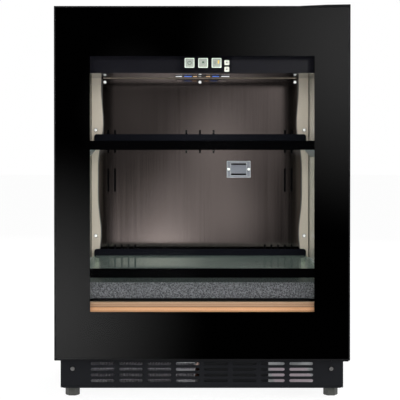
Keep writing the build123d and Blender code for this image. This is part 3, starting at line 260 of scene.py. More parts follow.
@dataclass(frozen=True)
class Timber(Surface):
    """Sawn and oiled wood, with its rings cut lengthwise so that they run along X."""

    light: str  # Its lightest colour, as sRGB hex
    dark: str  # Its darkest colour, on rings and in pores
    pore_mm: Triple  # Size of one pore along X, Y and Z
    roughness: float
    ior: float = 1.5  # Refractive index of the oil
    relief_mm: float = 0.08  # Depth of the pores
    relief_strength: float = 0.3  # How much of that depth shows
    ring_mm: float = 7.0  # Width of one ring
    ring_scale: float = 0.32  # Brings the wave texture's own bands to about one for each ring
    lengthwise: float = 1.6  # How often the rings change in a metre of length
    waver: float = 2.2  # How much the rings stray
    pore_share: float = 0.55  # Share of the pores in the colour, the rest being the rings'
    # Height of the groove, above which the painted shade of the upper band begins, in metres
    groove_height: float = 0.1876
    groove_half: float = 0.0008  # Half the height of the groove, in metres
    upper: str = "#C6D2E0"  # What the band above the groove keeps of the colour under its painted shade, as sRGB hex
    painted_groove_shade: str = "#A8A09C"  # What the groove keeps of the colour under its painted shade, as sRGB hex

    def draw(self, tree: Tree) -> None:
        """Builds rings, pores, and painted shade in the groove and on the band above it."""
        add = partial(add_node, tree)
        place = add("TexCoord").outputs["Object"]
        ring = 1000 / self.ring_mm
        stretched = add("Mapping", {"Scale": (self.lengthwise, ring, ring)}, {"Vector": place})
        rings = add(
            "TexWave", {"wave_type": "BANDS", "bands_direction": "Z", "Scale": self.ring_scale,
                        "Distortion": self.waver, "Detail": 3.0, "Detail Scale": 1.4},
            {"Vector": stretched})
        fine = add("Mapping", {"Scale": per_metre(self.pore_mm)}, {"Vector": place})
        pores = add("TexNoise", {"Scale": 1.0, "Detail": 4.0}, {"Vector": fine}).outputs["Fac"]
        blended = add(
            "Mix", {"data_type": "FLOAT", 0: self.pore_share},
            {2: rings.outputs["Fac"], 3: pores})
        tint = add(
            "Mix", {"data_type": "RGBA", 6: linear(self.dark), 7: linear(self.light)},
            {0: blended})
        # Painted shade: the band above the groove and the groove itself are darkened
        height = add("SeparateXYZ", {}, {"Vector": place}).outputs["Z"]
        upper_shade_mask = add("Math", {"operation": "GREATER_THAN", 1: self.groove_height}, {0: height})
        groove_shade_mask = add(
            "Math", {"operation": "COMPARE", 1: self.groove_height, 2: self.groove_half},
            {0: height})
        for where, kept in ((upper_shade_mask, self.upper), (groove_shade_mask, self.painted_groove_shade)):
            tint = add(
                "Mix", {"data_type": "RGBA", "blend_type": "MULTIPLY", 7: linear(kept)},
                {0: where, 6: tint.outputs[2]})
        relief = add(
            "Bump", {"Strength": self.relief_strength, "Distance": self.relief_mm * MM},
            {"Height": pores})
        surface = add(
            "BsdfPrincipled", {"Roughness": self.roughness, "IOR": self.ior},
            {"Base Color": tint.outputs[2], "Normal": relief})
        add("OutputMaterial", {}, {"Surface": surface})


@dataclass(frozen=True)
class Pane(Surface):
    """A clear sheet that lets light straight through and mirrors more at a slant.

    Only the face that light enters by mirrors, so its shares stand for both faces.
    """

    tint: str  # What one face lets through, as sRGB hex
    roughness: float  # Roughness of what it mirrors
    mirror: str = "#FFFFFF"  # Colour of what it mirrors, as sRGB hex
    straight: float = 0.04  # Share that the sheet mirrors straight on
    slant: float = 1.0  # Share that the sheet mirrors at a grazing angle
    power: float = 5.0  # How fast the one share goes over into the other
    bloom: str = "#FFFFFF"  # Colour of a fine film on the glass, as sRGB hex
    film: float = 0.0  # Share that the film covers at a grazing angle
    # Half the width of a coated window that mirrors little, in metres
    clear_half_width: float = 0.0
    clear_heights: Pair = (0.0, 0.0)  # Bottom and top of that window, in metres
    clear_share: float = 0.03  # Share of the mirroring that the window keeps

    def draw(self, tree: Tree) -> None:
        """Builds the clear and the mirroring shader, and the film over them."""
        add = partial(add_node, tree)
        facing = add("LayerWeight", {"Blend": 0.5}).outputs["Facing"]
        steep = add("Math", {"operation": "POWER", 1: self.power}, {0: facing})
        share = add(
            "MapRange", {"To Min": self.straight, "To Max": self.slant}, {"Value": steep})
        if self.clear_half_width:
            share = self.coated(tree, share)
        back = add("NewGeometry").outputs["Backfacing"]
        entered = add("Math", {"operation": "SUBTRACT", 0: 1.0}, {1: back})
        share = add("Math", {"operation": "MULTIPLY"}, {0: share, 1: entered})
        through = add("BsdfTransparent", {"Color": linear(self.tint)})
        gloss = add(
            "BsdfGlossy", {"Color": linear(self.mirror), "Roughness": self.roughness})
        surface = add("MixShader", {}, {0: share, 1: through, 2: gloss})
        if self.film:
            bloom = add("BsdfDiffuse", {"Color": linear(self.bloom)})
            grazed = add("Math", {"operation": "MULTIPLY"}, {0: entered, 1: steep})
            covered = add("Math", {"operation": "MULTIPLY", 1: self.film}, {0: grazed})
            surface = add("MixShader", {}, {0: covered, 1: surface, 2: bloom})
        add("OutputMaterial", {}, {"Surface": surface})

    def coated(self, tree: Tree, share: Node) -> Node:
        """Weakens the mirroring inside the coated window.

        Args:
            tree: The material's tree.
            share: The mirrored share of bare glass.

        Returns:
            The mirrored share of the pane.
        """
        add = partial(add_node, tree)
        parts = add("SeparateXYZ", {}, {"Vector": add("TexCoord").outputs["Object"]})
        bottom, top = self.clear_heights
        across, upward = (
            add("Math", {"operation": "COMPARE", 1: middle, 2: half}, {0: parts.outputs[axis]})
            for axis, middle, half in (
                ("X", 0.0, self.clear_half_width), ("Z", (bottom + top) / 2, (top - bottom) / 2)))
        inside = add("Math", {"operation": "MULTIPLY"}, {0: across, 1: upward})
        kept = add("MapRange", {"To Min": 1.0, "To Max": self.clear_share}, {"Value": inside})
        return add("Math", {"operation": "MULTIPLY"}, {0: share, 1: kept})


# Metals
WRAPPER = Finish(  # Polyester powder coat on steel: a soft sheen over a faint orange peel
    "black_powder_coated_steel", "#111214", "#0C0D0E", 2.2, (0.38, 0.46), relief_mm=0.06,
    relief_strength=0.35)
GALVANISED = Finish(  # Hot-dip zinc: flat crystals of slightly different greys
    "hot_dip_galvanised_steel", "#B0B3B6", "#999DA0", 14.0, (0.32, 0.44), metallic=0.85,
    grain=Grain.CELLS, relief_mm=0.02, relief_strength=0.2)
BRUSHED = Finish(  # Stainless sheet brushed upright, grain drawn 3 mm wide so that it shows
    "vertically_brushed_stainless_steel", "#A19591", "#867A76", (2.6, 2.6, 260.0),
    (0.07, 0.10), metallic=1.0, brushed=0.3)
STUCCO = Finish(  # Stucco-embossed aluminium: rounded dimples 3 to 4 mm apart that sparkle
    "stucco_embossed_aluminium", "#AAAAB0", "#26262C", 2.6, (0.24, 0.36), metallic=0.4,
    relief_mm=1.0, relief_strength=0.8, grain=Grain.CELLS)
CHAMPAGNE = Finish(  # Bead-blasted and anodised strip with a warm cast
    "champagne_anodised_aluminium", "#E4DACC", "#D7CDBE", (1.2, 1.2, 40.0), (0.34, 0.42),
    metallic=0.2, relief_mm=0.01, relief_strength=0.15)
CHROMED = Finish(  # Nickel and chrome plate on turned screws and rods
    "chrome_plated_steel", "#DEDEDD", "#CFCFCE", 6.0, (0.08, 0.16), metallic=1.0)
FINS = Finish(  # Rolled aluminium fin stock, dull and slightly streaked
    "rolled_aluminium_fin_stock", "#C9CACB", "#A7A9AB", (1.0, 14.0, 14.0), (0.34, 0.5),
    metallic=0.9)
COPPER = Finish(  # Drawn copper tube, tarnished in patches
    "drawn_copper_tube", "#C27E58", "#8E5638", 18.0, (0.22, 0.42), metallic=1.0, detail=5.0)
FOOT_STEEL = Finish(  # Zinc-plated hexagon bar, passivated grey
    "grey_zinc_plated_steel", "#5A5B57", "#41423F", 5.0, (0.34, 0.5), metallic=0.3)
HINGE_STEEL = Finish(  # Black oxide on pressed steel, a little oily
    "black_oxide_steel", "#1A1B1D", "#111214", 4.0, (0.3, 0.44), metallic=0.5)
GRILLE_STEEL = Finish(  # Satin black lacquer with a blue cast on pressed steel
    "satin_black_lacquered_steel", "#17181B", "#101114", 3.0, (0.30, 0.40), relief_mm=0.04,
    relief_strength=0.25, ior=1.3)
ENAMEL = Finish(  # Thick glossy enamel on the compressor's drawn shell
    "black_stove_enamel", "#16171A", "#0F1012", 9.0, (0.16, 0.28), coat=0.4, relief_mm=0.2,
    relief_strength=0.25)
FINS_PAINTED_LIGHT_AND_SHADE = Finish(  # Mill-finish aluminium fins, streaked near black to lilac white across them: painted shade between the fins and painted light on their edges
    "aluminium_fins_painted_light_and_shade", "#EAE4EE", "#060607", (3.4, 60.0, 14.0), (0.35, 0.5),
    metallic=0.3)
SCREW_PAINTED_HIGHLIGHT = Finish(  # Bright nickel plate that reads white, with a faint glow as a painted highlight
    "nickel_plate_painted_highlight", "#FFFFFF", "#F6F6F4", 2.0, (0.2, 0.3), metallic=0.12, glow=0.3)
ROLLED_EDGE = Finish(  # Satin rolled steel on the wall's edges and the grille's screws
    "satin_rolled_steel", "#7E7D7C", "#737271", (2.0, 2.0, 40.0), (0.3, 0.42), metallic=0.5)
SPACER = Finish(  # Black anodised spacer bar between the panes
    "black_anodised_spacer", "#1A1A1B", "#121213", 1.0, (0.4, 0.5), metallic=0.4)

# Plastics, rubber and wood
LINER = Finish(  # Vacuum-formed polystyrene: even, faintly textured, warm light grey
    "vacuum_formed_polystyrene", "#EEE8DD", "#E4DED3", 1.4, (0.14, 0.2), relief_mm=0.05,
    relief_strength=0.2, ior=1.55)
FASCIA = Finish(  # High-gloss ABS in a dark blue grey, with slight moulding waves
    "gloss_dark_blue_grey_abs", "#131319", "#0E0E13", 60.0, (0.12, 0.18), relief_mm=0.1,
    relief_strength=0.08)
INSERT = Finish(  # Smoked acrylic in front of the keys
    "smoked_acrylic", "#0D0D12", "#0A0A0E", 40.0, (0.06, 0.1), ior=1.49)
CEILING = Finish(  # Gloss ABS ceiling that mirrors the wall at a slant
    "gloss_grey_abs", "#28282D", "#222227", 50.0, (0.06, 0.10))
KEY_CAP = Finish(  # Backlit polycarbonate cap: milky, with its own faint green-white light
    "backlit_milky_polycarbonate", "#9AA197", "#939A90", 3.0, (0.2, 0.3), glow=0.25, ior=1.58)
SMALL_KEY_CAP = Finish(  # The small caps are whiter and fully lit
    "backlit_white_polycarbonate", "#D6D9CB", "#CED1C3", 3.0, (0.2, 0.3), glow=0.2, ior=1.58)
KEY_RIM = Finish(  # Clear rim that carries the light round each cap
    "light_carrying_acrylic_rim", "#DCE8DA", "#D4E0D2", 2.0, (0.12, 0.2), glow=0.5, ior=1.49)
MARK_GREEN = Finish(  # Pad-printed ink on the caps, green grey
    "green_grey_printed_ink", "#4B6152", "#43574A", 0.8, (0.5, 0.6))
MARK_LEAF = Finish(  # Pad-printed ink, leaf green
    "leaf_green_printed_ink", "#3B5A43", "#34513C", 0.8, (0.5, 0.6))
MARK_DARK = Finish(  # Pad-printed ink, dark
    "dark_printed_ink", "#3A3D42", "#33363B", 0.8, (0.5, 0.6))
MARK_YELLOW = Finish(  # Lit amber segment beside the digits
    "lit_amber_segment", "#D9B84A", "#CDAA3C", 0.8, (0.4, 0.5), glow=0.4)
BOARD = Finish(  # Green solder mask on glass-fibre laminate, with darker tracks
    "green_solder_mask", "#2C5E3E", "#1D4A2E", 2.4, (0.25, 0.4), grain=Grain.CELLS)
DIFFUSER = Finish(  # Smoked acrylic over the lamp, with the lit tiles under it
    "smoked_lamp_acrylic", "#2C2C31", "#26262B", 4.0, (0.1, 0.16))
LED_WHITE = Finish(  # Lit white tile of the lamp
    "lit_white_lens", "#F2F4F6", "#EAECEE", 2.0, (0.2, 0.3), glow=0.6)
LED_BLUE = Finish(  # Lit blue tile of the lamp
    "lit_blue_lens", "#5A7FE0", "#4C70D0", 2.0, (0.2, 0.3), glow=0.6)
LED_AMBER = Finish(  # Lit tan tile of the lamp
    "lit_amber_lens", "#D8B48C", "#CBA67D", 2.0, (0.2, 0.3), glow=0.6)
SENSOR_PLASTIC = Finish(  # Silver-blue metallic ABS on the sensor's cover
    "silver_blue_metallic_abs", "#979AA3", "#898C95", 0.9, (0.26, 0.36), metallic=0.25)
SENSOR_RIM_HIGHLIGHT = Finish(  # The same ABS, lighter along the raised rims as a painted highlight
    "metallic_abs_painted_highlight", "#E6E8EE", "#DADCE3", 0.9, (0.22, 0.3), metallic=0.25)
LEDGE = Finish(  # Moulded polystyrene with a bluish cast
    "bluish_white_polystyrene", "#C4C9CD", "#BABFC4", 1.6, (0.34, 0.44), relief_mm=0.04,
    relief_strength=0.2)
TRIM = Finish(  # Black PVC edging on the shelves, made a little lighter on the rear edge as a painted reflection
    "gloss_black_pvc_edging_painted_reflection", "#030304", "#020202", 20.0, (0.3, 0.4), ior=1.02, far_painted_reflection="#131419")
BLACK_NYLON = Finish(  # Glass-filled nylon: matt black with a mealy skin
    "glass_filled_black_nylon", "#232426", "#191A1B", 1.0, (0.55, 0.7), relief_mm=0.05,
    relief_strength=0.3)
TRAY = Finish(  # Grey polypropylene, slightly waxy
    "grey_polypropylene", "#B9BCBE", "#ADB0B2", 3.0, (0.42, 0.52))
HINGE_COVER = Finish(  # Spark-eroded ABS
    "spark_eroded_black_abs", "#101012", "#0B0B0D", 0.9, (0.42, 0.54), ior=1.35,
    relief_mm=0.06, relief_strength=0.4)
DOOR_FRAME = Finish(  # Satin black PVC profile round the glass
    "satin_black_pvc_profile", "#0D0D0F", "#09090B", 1.6, (0.3, 0.4), ior=1.35,
    relief_mm=0.03, relief_strength=0.2)
BORDER = Finish(  # Black ceramic print fused to the back of the glass, with no gloss of its own
    "fired_black_ceramic_print", "#010101", "#000000", 1.0, (0.5, 0.6), ior=1.0)
SEAL = Finish(  # Soft PVC seal, dull with a fine talc bloom
    "soft_black_pvc_seal", "#26272A", "#1D1E20", 1.2, (0.55, 0.7))
RUBBER = Finish(  # Moulded natural rubber mounts
    "moulded_black_rubber", "#242424", "#191919", 1.2, (0.65, 0.8), relief_mm=0.05,
    relief_strength=0.3)
SCREW_SHADE_RING = Finish(  # Black rings under the screw heads, painted shade round them
    "black_painted_shade_ring", "#101011", "#0A0A0B", 1.0, (0.5, 0.6), ior=1.2)
JOINT_BEAD = Finish(  # Warm grey silicone in the joint of wall and ceiling
    "warm_grey_silicone", "#A29486", "#978A7C", 1.6, (0.3, 0.4))
PAINTED_SHADE_FILL = Finish(  # Near-black fill that stands for painted shade behind the air slots, the sensor's slots and at the foot of the step
    "black_painted_shade_fill", "#0B0B0C", "#060607", 1.2, (0.9, 1.0), ior=1.1)
BUSH = Finish(  # Ivory acetal bushes
    "ivory_acetal", "#D8D6CC", "#CFCDC2", 2.0, (0.3, 0.4))
FOAM = Finish(  # Rigid polyurethane foam, cut edge with open cells
    "rigid_polyurethane_foam", "#DCCB98", "#C4B17C", 1.8, (0.8, 0.95), relief_mm=0.4,
    relief_strength=0.6, grain=Grain.CELLS)
BLACK_WIRE = Finish(  # Nylon-dipped steel wire
    "nylon_dipped_black_wire", "#17181A", "#101112", 3.0, (0.2, 0.3))
WOOD = Timber(  # Oiled beech, quarter cut, pores and rings along the front
    "oiled_beech", "#EFBF95", "#CB8F62", (26.0, 0.9, 0.9), 0.38)

# Glass
SHELF_GLASS = Pane(  # Tempered float glass: clear from above, greenish at a grazing angle
    "tempered_float_glass", "#EAF5F0", 0.02, mirror="#F2F6F4", slant=0.3, bloom="#DCEDE8",
    film=0.33)
DOOR_GLASS = Pane(  # Front pane, coated against glare over the window
    "coated_front_glass", "#FEFEFE", 0.01, clear_half_width=0.2255,
    clear_heights=(0.1855, 0.700))
INNER_GLASS = Pane(  # Rear pane of the insulating pair, coated all over
    "coated_inner_glass", "#FEFEFE", 0.01, straight=0.0006)

NODE_FINISHES: dict[str, Surface] = {
    "outer_wrapper": WRAPPER, "front_frame": WRAPPER, "back_plate": GALVANISED,
    "machine_deck": GALVANISED, "base_pan": GALVANISED, "insulation_foam": FOAM,
    "inner_liner": LINER, "step_cover": STUCCO, "back_panel": BRUSHED,
    "side_strips": CHAMPAGNE, "back_wall_screws": CHROMED, "sensor_cover": SENSOR_PLASTIC,
    "temperature_sensor": CHROMED, "evaporator": FINS, "evaporator_fan_housing": BLACK_NYLON,
    "evaporator_fan": BLACK_NYLON, "control_housing": FASCIA, "control_insert": INSERT,
    "control_board": BOARD, "power_key": KEY_CAP, "lamp_key": KEY_CAP,
    "display_key": KEY_CAP, "up_key": SMALL_KEY_CAP, "down_key": SMALL_KEY_CAP,
    "ceiling_cover": CEILING, "lamp_lens": DIFFUSER, "shelf_ledges": LEDGE,
    "upper_shelf_glass": SHELF_GLASS, "upper_shelf_trims": TRIM,
    "lower_shelf_glass": SHELF_GLASS, "lower_shelf_trims": TRIM, "rack_rails": CHROMED,
    "rack_wires": BLACK_WIRE, "rack_front": WOOD, "kick_grille": GRILLE_STEEL,
    "grille_screws": HINGE_STEEL, "compressor": ENAMEL, "compressor_mounts": RUBBER,
    "drip_tray": TRAY, "condenser": FINS_PAINTED_LIGHT_AND_SHADE, "condenser_fan_shroud": BLACK_NYLON,
    "condenser_fan": BLACK_NYLON, "refrigerant_tubes": COPPER, "electrical_box": BLACK_NYLON,
    "mains_gland": BLACK_NYLON, "top_hinge_bracket": HINGE_STEEL,
    "hinge_cover": HINGE_COVER, "bottom_hinge_bracket": HINGE_STEEL,
    "hinge_screws": CHROMED, "door_frame": DOOR_FRAME, "door_outer_glass": DOOR_GLASS,
    "door_border": BORDER, "glass_spacer": SPACER, "door_inner_glass": INNER_GLASS,
    "door_gasket": SEAL, "hinge_bushes": BUSH,
    **{f"{end}_{side}_foot": FOOT_STEEL for end in ("front", "rear") for side in ("left", "right")},
}


# Modelling by hand tools


def about(middle: float, half: float) -> Pair:
    """A span from its middle and half its length."""
    return middle - half, middle + half


def deselect_all() -> None:
    """Leaves edit mode and clears the selection."""
    if bpy.context.object is not None and bpy.context.object.mode != "OBJECT":
        bpy.ops.object.mode_set(mode="OBJECT")
    bpy.ops.object.select_all(action="DESELECT")


def pick(*pieces: Piece) -> Piece:
    """Selects pieces and nothing else, and makes the first one active.

    Args:
        pieces: What is selected.

    Returns:
        The first of them.
    """
    deselect_all()
    for piece in pieces:
        piece.select_set(True)
    bpy.context.view_layer.objects.active = pieces[0]
    return pieces[0]


def settle(piece: Piece) -> Piece:
    """Bakes a piece's place, turn and size into its mesh.

    Args:
        piece: The piece.

    Returns:
        The same piece.
    """
    pick(piece)
    bpy.ops.object.transform_apply(location=True, rotation=True, scale=True)
    return piece


@contextmanager
def editing(piece: Piece) -> Iterator[None]:
    """Holds a piece in edit mode, with faces as what is selected and none of them selected.

    Args:
        piece: The piece.
    """
    pick(piece)
    bpy.ops.object.mode_set(mode="EDIT")
    bpy.ops.mesh.select_mode(type="FACE")
    bpy.ops.mesh.select_all(action="DESELECT")
    yield
    bpy.ops.object.mode_set(mode="OBJECT")


def select_facing(piece: Piece, way: Triple) -> None:
    """Selects the faces that look one way, in edit mode.

    Args:
        piece: The piece in edit mode.
        way: A direction of length one.
    """
    mesh = bmesh.from_edit_mesh(piece.data)
    mesh.normal_update()
    for face in mesh.faces:
        face.select_set(face.normal.dot(Vector(way)) > SQUARE_ON)
    mesh.select_flush_mode()
    bmesh.update_edit_mesh(piece.data)


def extrude(reach: Triple) -> None:
    """Draws the selected faces out by a distance along each axis."""
    bpy.ops.mesh.extrude_region_move(TRANSFORM_OT_translate={"value": reach})


def round_end(piece: Piece, way: Triple, width: float, segments: int) -> None:
    """Rounds the edges of the faces that look one way.

    Args:
        piece: The piece.
        way: The direction of the faces.
        width: Width of the rounding.
        segments: Faces across the rounding.
    """
    with editing(piece):
        select_facing(piece, way)
        bpy.ops.mesh.bevel(offset=width, segments=segments, affect="EDGES")


def flatten(piece: Piece, share: float, centre: Triple) -> None:
    """Presses a piece flat along Y.

    Args:
        piece: The piece.
        share: What it keeps of its depth.
        centre: The point that stays where it is.
    """
    with editing(piece):
        bpy.ops.mesh.select_all(action="SELECT")
        bpy.ops.transform.resize(value=(1, share, 1), center_override=centre)


def new_shape(add: Callable[..., Any], **sizes: Any) -> Piece:
    """Adds a primitive, with its place in its mesh.

    Args:
        add: The operator that adds it.
        sizes: The operator's settings.

    Returns:
        The settled primitive.
    """
    deselect_all()
    add(**sizes)
    return settle(bpy.context.object)


def new_box(
    low: Sequence[float], high: Sequence[float], edge: float, segments: int = 2
) -> Piece:
    """Adds a block between two corners and rounds all its edges.

    Args:
        low: Lowest corner.
        high: Highest corner.
        edge: Width of the rounding.
        segments: Faces across the rounding.

    Returns:
        The settled block.
    """
    deselect_all()
    bpy.ops.mesh.primitive_cube_add(size=1, location=[(a + b) / 2 for a, b in zip(low, high)])
    block = bpy.context.object
    block.scale = [b - a for a, b in zip(low, high)]
    settle(block)
    with editing(block):
        bpy.ops.mesh.select_all(action="SELECT")
        bpy.ops.mesh.bevel(offset=edge, segments=segments, affect="EDGES")
    return block


def cut(piece: Piece, cutter: Piece) -> Piece:
    """Cuts one piece out of another and removes the cutter.

    Args:
        piece: What is cut.
        cutter: What cuts it.

    Returns:
        The cut piece.
    """
    pick(piece)
    tool = piece.modifiers.new("cut", "BOOLEAN")
    tool.operation = "DIFFERENCE"
    tool.solver = "EXACT"
    tool.object = cutter
    bpy.ops.object.modifier_apply(modifier=tool.name)
    bpy.data.objects.remove(cutter)
    return piece


def copy_at(source: Piece, move: Matrix) -> Piece:
    """Copies a piece with its own mesh.

    Args:
        source: What is copied.
        move: Where the copy's mesh is moved.

    Returns:
        The copy.
    """
    twin = source.copy()
    twin.data = source.data.copy()
    twin.data.transform(move)
    bpy.context.scene.collection.objects.link(twin)
    return twin


def finish_piece(
    name: str, parts: Sequence[Piece], finish: Surface, body: str = "cabinet",
    angle: float = 35.0,
) -> Piece:
    """Joins parts into a piece and gives it its material, shading and body.

    Args:
        name: The piece's name.
        parts: Its parts, with their places in their meshes.
        finish: Its surface.
        body: The body that it rides on.
        angle: Edges sharper than this many degrees stay sharp.

    Returns:
        The piece.
    """
    piece = pick(*parts)
    if len(parts) > 1:
        bpy.ops.object.join()
    piece.name = name
    piece.data.materials.clear()
    piece.data.materials.append(finish.material())
    bpy.ops.object.shade_smooth_by_angle(angle=math.radians(angle))
    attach(piece, body)
    log.info("%s: %d faces on %s", name, len(piece.data.polygons), body)
    return piece


# Sub-assemblies


@dataclass
class Cabinetwork:
    """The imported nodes, each dressed in its own finish."""

    nodes: dict[str, Piece]

    def dress(self) -> None:
        """Puts each node's material on it."""
        for name, node in self.nodes.items():
            material = NODE_FINISHES[name].material()
            for place in node.material_slots:
                place.material = material
            log.info("%s: %s", name, material.name)

    def clear_panes(self) -> None:
        """Lets light and mirrored rays pass the door's panes, which only the eye then meets."""
        for name in ("door_outer_glass", "door_inner_glass"):
            pane = self.nodes[name]
            pane.visible_diffuse = False
            pane.visible_glossy = False
            pane.visible_shadow = False


@dataclass
class CrossScrew:
    """A pan-head screw with a cross recess."""

    radius: float
    height: float
    shank: float = 0.002  # Length of the stub under the head
    sides: int = 28
    dome_share: float = 0.85  # Rounding of the head, as a share of its height
    dome_steps: int = 5  # Faces across that rounding
    stub_share: float = 0.5  # How far the stub stays inside the head, as a share of its radius
    arm_share: float = 0.5  # Half the length of the recess, as a share of the radius
    slit_share: float = 0.1  # Half its width, as a share of the radius
    depth_share: float = 0.6  # Its depth, as a share of the head's height
    corner_share: float = 0.3  # Rounding of its corners, as a share of half its width
    twist: float = 37.0  # How many degrees each screw is turned further than the last

    def model(self) -> Piece:
        """Builds one screw at the origin, its head towards +Z."""
        screw = new_shape(
            bpy.ops.mesh.primitive_cylinder_add, vertices=self.sides, radius=self.radius,
            depth=self.height, location=(0, 0, self.height / 2))
        round_end(screw, (0, 0, 1), self.height * self.dome_share, self.dome_steps)
        with editing(screw):
            select_facing(screw, (0, 0, -1))
            bpy.ops.mesh.inset(thickness=self.radius * self.stub_share)
            extrude((0, 0, -self.shank))
        arm, slit = self.radius * self.arm_share, self.radius * self.slit_share
        floor, over = self.height * (1 - self.depth_share), self.height * 2
        for x, y in ((arm, slit), (slit, arm)):
            cut(screw, new_box((-x, -y, floor), (x, y, over), slit * self.corner_share, 1))
        return screw

    def place(
        self, name: str, places: Sequence[Triple], turn: Matrix, finish: Surface, slot: str,
        node: str = "",
    ) -> None:
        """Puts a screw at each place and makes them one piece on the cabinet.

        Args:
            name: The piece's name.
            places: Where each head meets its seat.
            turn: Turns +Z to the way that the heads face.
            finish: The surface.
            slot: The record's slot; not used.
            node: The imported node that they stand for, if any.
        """
        model = self.model()
        screws = []
        for number, at in enumerate(places):
            twist = Matrix.Rotation(math.radians(self.twist * number), 4, "Z")
            screws.append(copy_at(model, Matrix.Translation(at) @ turn @ twist))
        bpy.data.objects.remove(model)
        piece = finish_piece(name, screws, finish)
        if node:
            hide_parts(node)


@dataclass
class Fasteners:
    """All the screws that show, with their recesses and dark rings of painted shade round their
    heads.
    """

    wall_screw: Pair = (0.0036, 0.0022)  # Radius and height of a head on the wall
    grille_screw: Pair = (0.0045, 0.0026)  # Radius and height of a head on the grille
    back_screw: Pair = (0.0048, 0.0022)  # Radius and height of a head on the back plate
    panel_seat: Pair = (0.183, 0.6658)  # Seat and height of the wall's upper screws
    panel_x: Triple = (-0.2203, 0.0, 0.2203)  # Where these three are from left to right
    strip_seat: Pair = (0.2416, 0.181)  # Distance from the middle and seat of the strips' screws
    strip_z: Pair = (0.5546, 0.3094)  # Their heights
    cover_at: Triple = (0.0895, 0.171, 0.464)  # Middle between the screws of the sensor's cover
    cover_half: float = 0.0232  # Half the distance between them
    grille_at: Triple = (0.2644, -0.2355, 0.064)  # The grille's right screw
    plate_inset: float = 0.010  # How far the back plate's screws stay inside its edge
    plate_gaps: int = 4  # Gaps between the screws on each side of the plate
    plate_x: Triple = (-0.13, 0.0, 0.13)  # Where the screws along its top and bottom are
    shade_ring_depth: float = 0.0004
    shade_ring_lead: float = 0.0001  # How far a ring's middle stands in front of the seat
    shade_ring_edge: float = 0.00015
    # Radii of the dark rings of painted shade on panel, strips, sensor cover and grille
    shade_ring_radii: tuple[float, ...] = (0.0050, 0.0043, 0.0044, 0.0060)

    def wall(self) -> None:
        """Screws of the back wall, its strips and the sensor's cover."""
        panel_y, panel_z = self.panel_seat
        strip_x, strip_y = self.strip_seat
        cover_x, cover_y, cover_z = self.cover_at
        top = [(x, panel_y, panel_z) for x in self.panel_x]
        strips = [(side * strip_x, strip_y, z) for side in SIDES for z in self.strip_z]
        cover = [(x, cover_y, cover_z) for x in about(cover_x, self.cover_half)]
        CrossScrew(*self.wall_screw).place(
            "wall_cross_screws", top + strips + cover, FACING_FRONT, SCREW_PAINTED_HIGHLIGHT,
            "bright_screws", "back_wall_screws")
        on_panel, on_strips, on_cover, _ = self.shade_ring_radii
        self.shade_rings("wall_shade_rings", top, on_panel)
        self.shade_rings("strip_shade_rings", strips, on_strips)
        self.shade_rings("sensor_shade_rings", cover, on_cover)

    def shade_rings(self, name: str, places: Sequence[Triple], radius: float) -> None:
        """Thin dark rings under screw heads that face the front, painted shade round the heads.

        Args:
            name: The piece's name.
            places: Where each head meets its seat.
            radius: Outer radius of a ring.
        """
        rounds = []
        for x, y, z in places:
            shade_ring = new_shape(
                bpy.ops.mesh.primitive_cylinder_add, vertices=32, radius=radius,
                depth=self.shade_ring_depth, location=(x, y - self.shade_ring_lead, z),
                rotation=(QUARTER_TURN, 0, 0))
            round_end(shade_ring, (0, -1, 0), self.shade_ring_edge, 2)
            rounds.append(shade_ring)
        finish_piece(name, rounds, SCREW_SHADE_RING)

    def grille(self) -> None:
        """The two screws that hold the kick grille."""
        x, y, z = self.grille_at
        places = [(side * x, y, z) for side in SIDES]
        CrossScrew(*self.grille_screw).place(
            "grille_cross_screws", places, FACING_FRONT, ROLLED_EDGE, "grille_screw_steel",
            "grille_screws")
        self.shade_rings("grille_shade_rings", places, self.shade_ring_radii[-1])

    def back(self) -> None:
        """The screws round the back plate."""
        low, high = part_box("back_plate")
        bottom, top = low.z + self.plate_inset, high.z - self.plate_inset
        pitch = (top - bottom) / self.plate_gaps
        rows = [bottom + n * pitch for n in range(self.plate_gaps + 1)]
        reach = high.x - self.plate_inset
        places = [(side * reach, high.y, z) for side in SIDES for z in rows]
        places += [(x, high.y, z) for x in self.plate_x for z in (bottom, top)]
        CrossScrew(*self.back_screw).place(
            "back_plate_screws", places, FACING_BACK, CHROMED, "bright_screws")


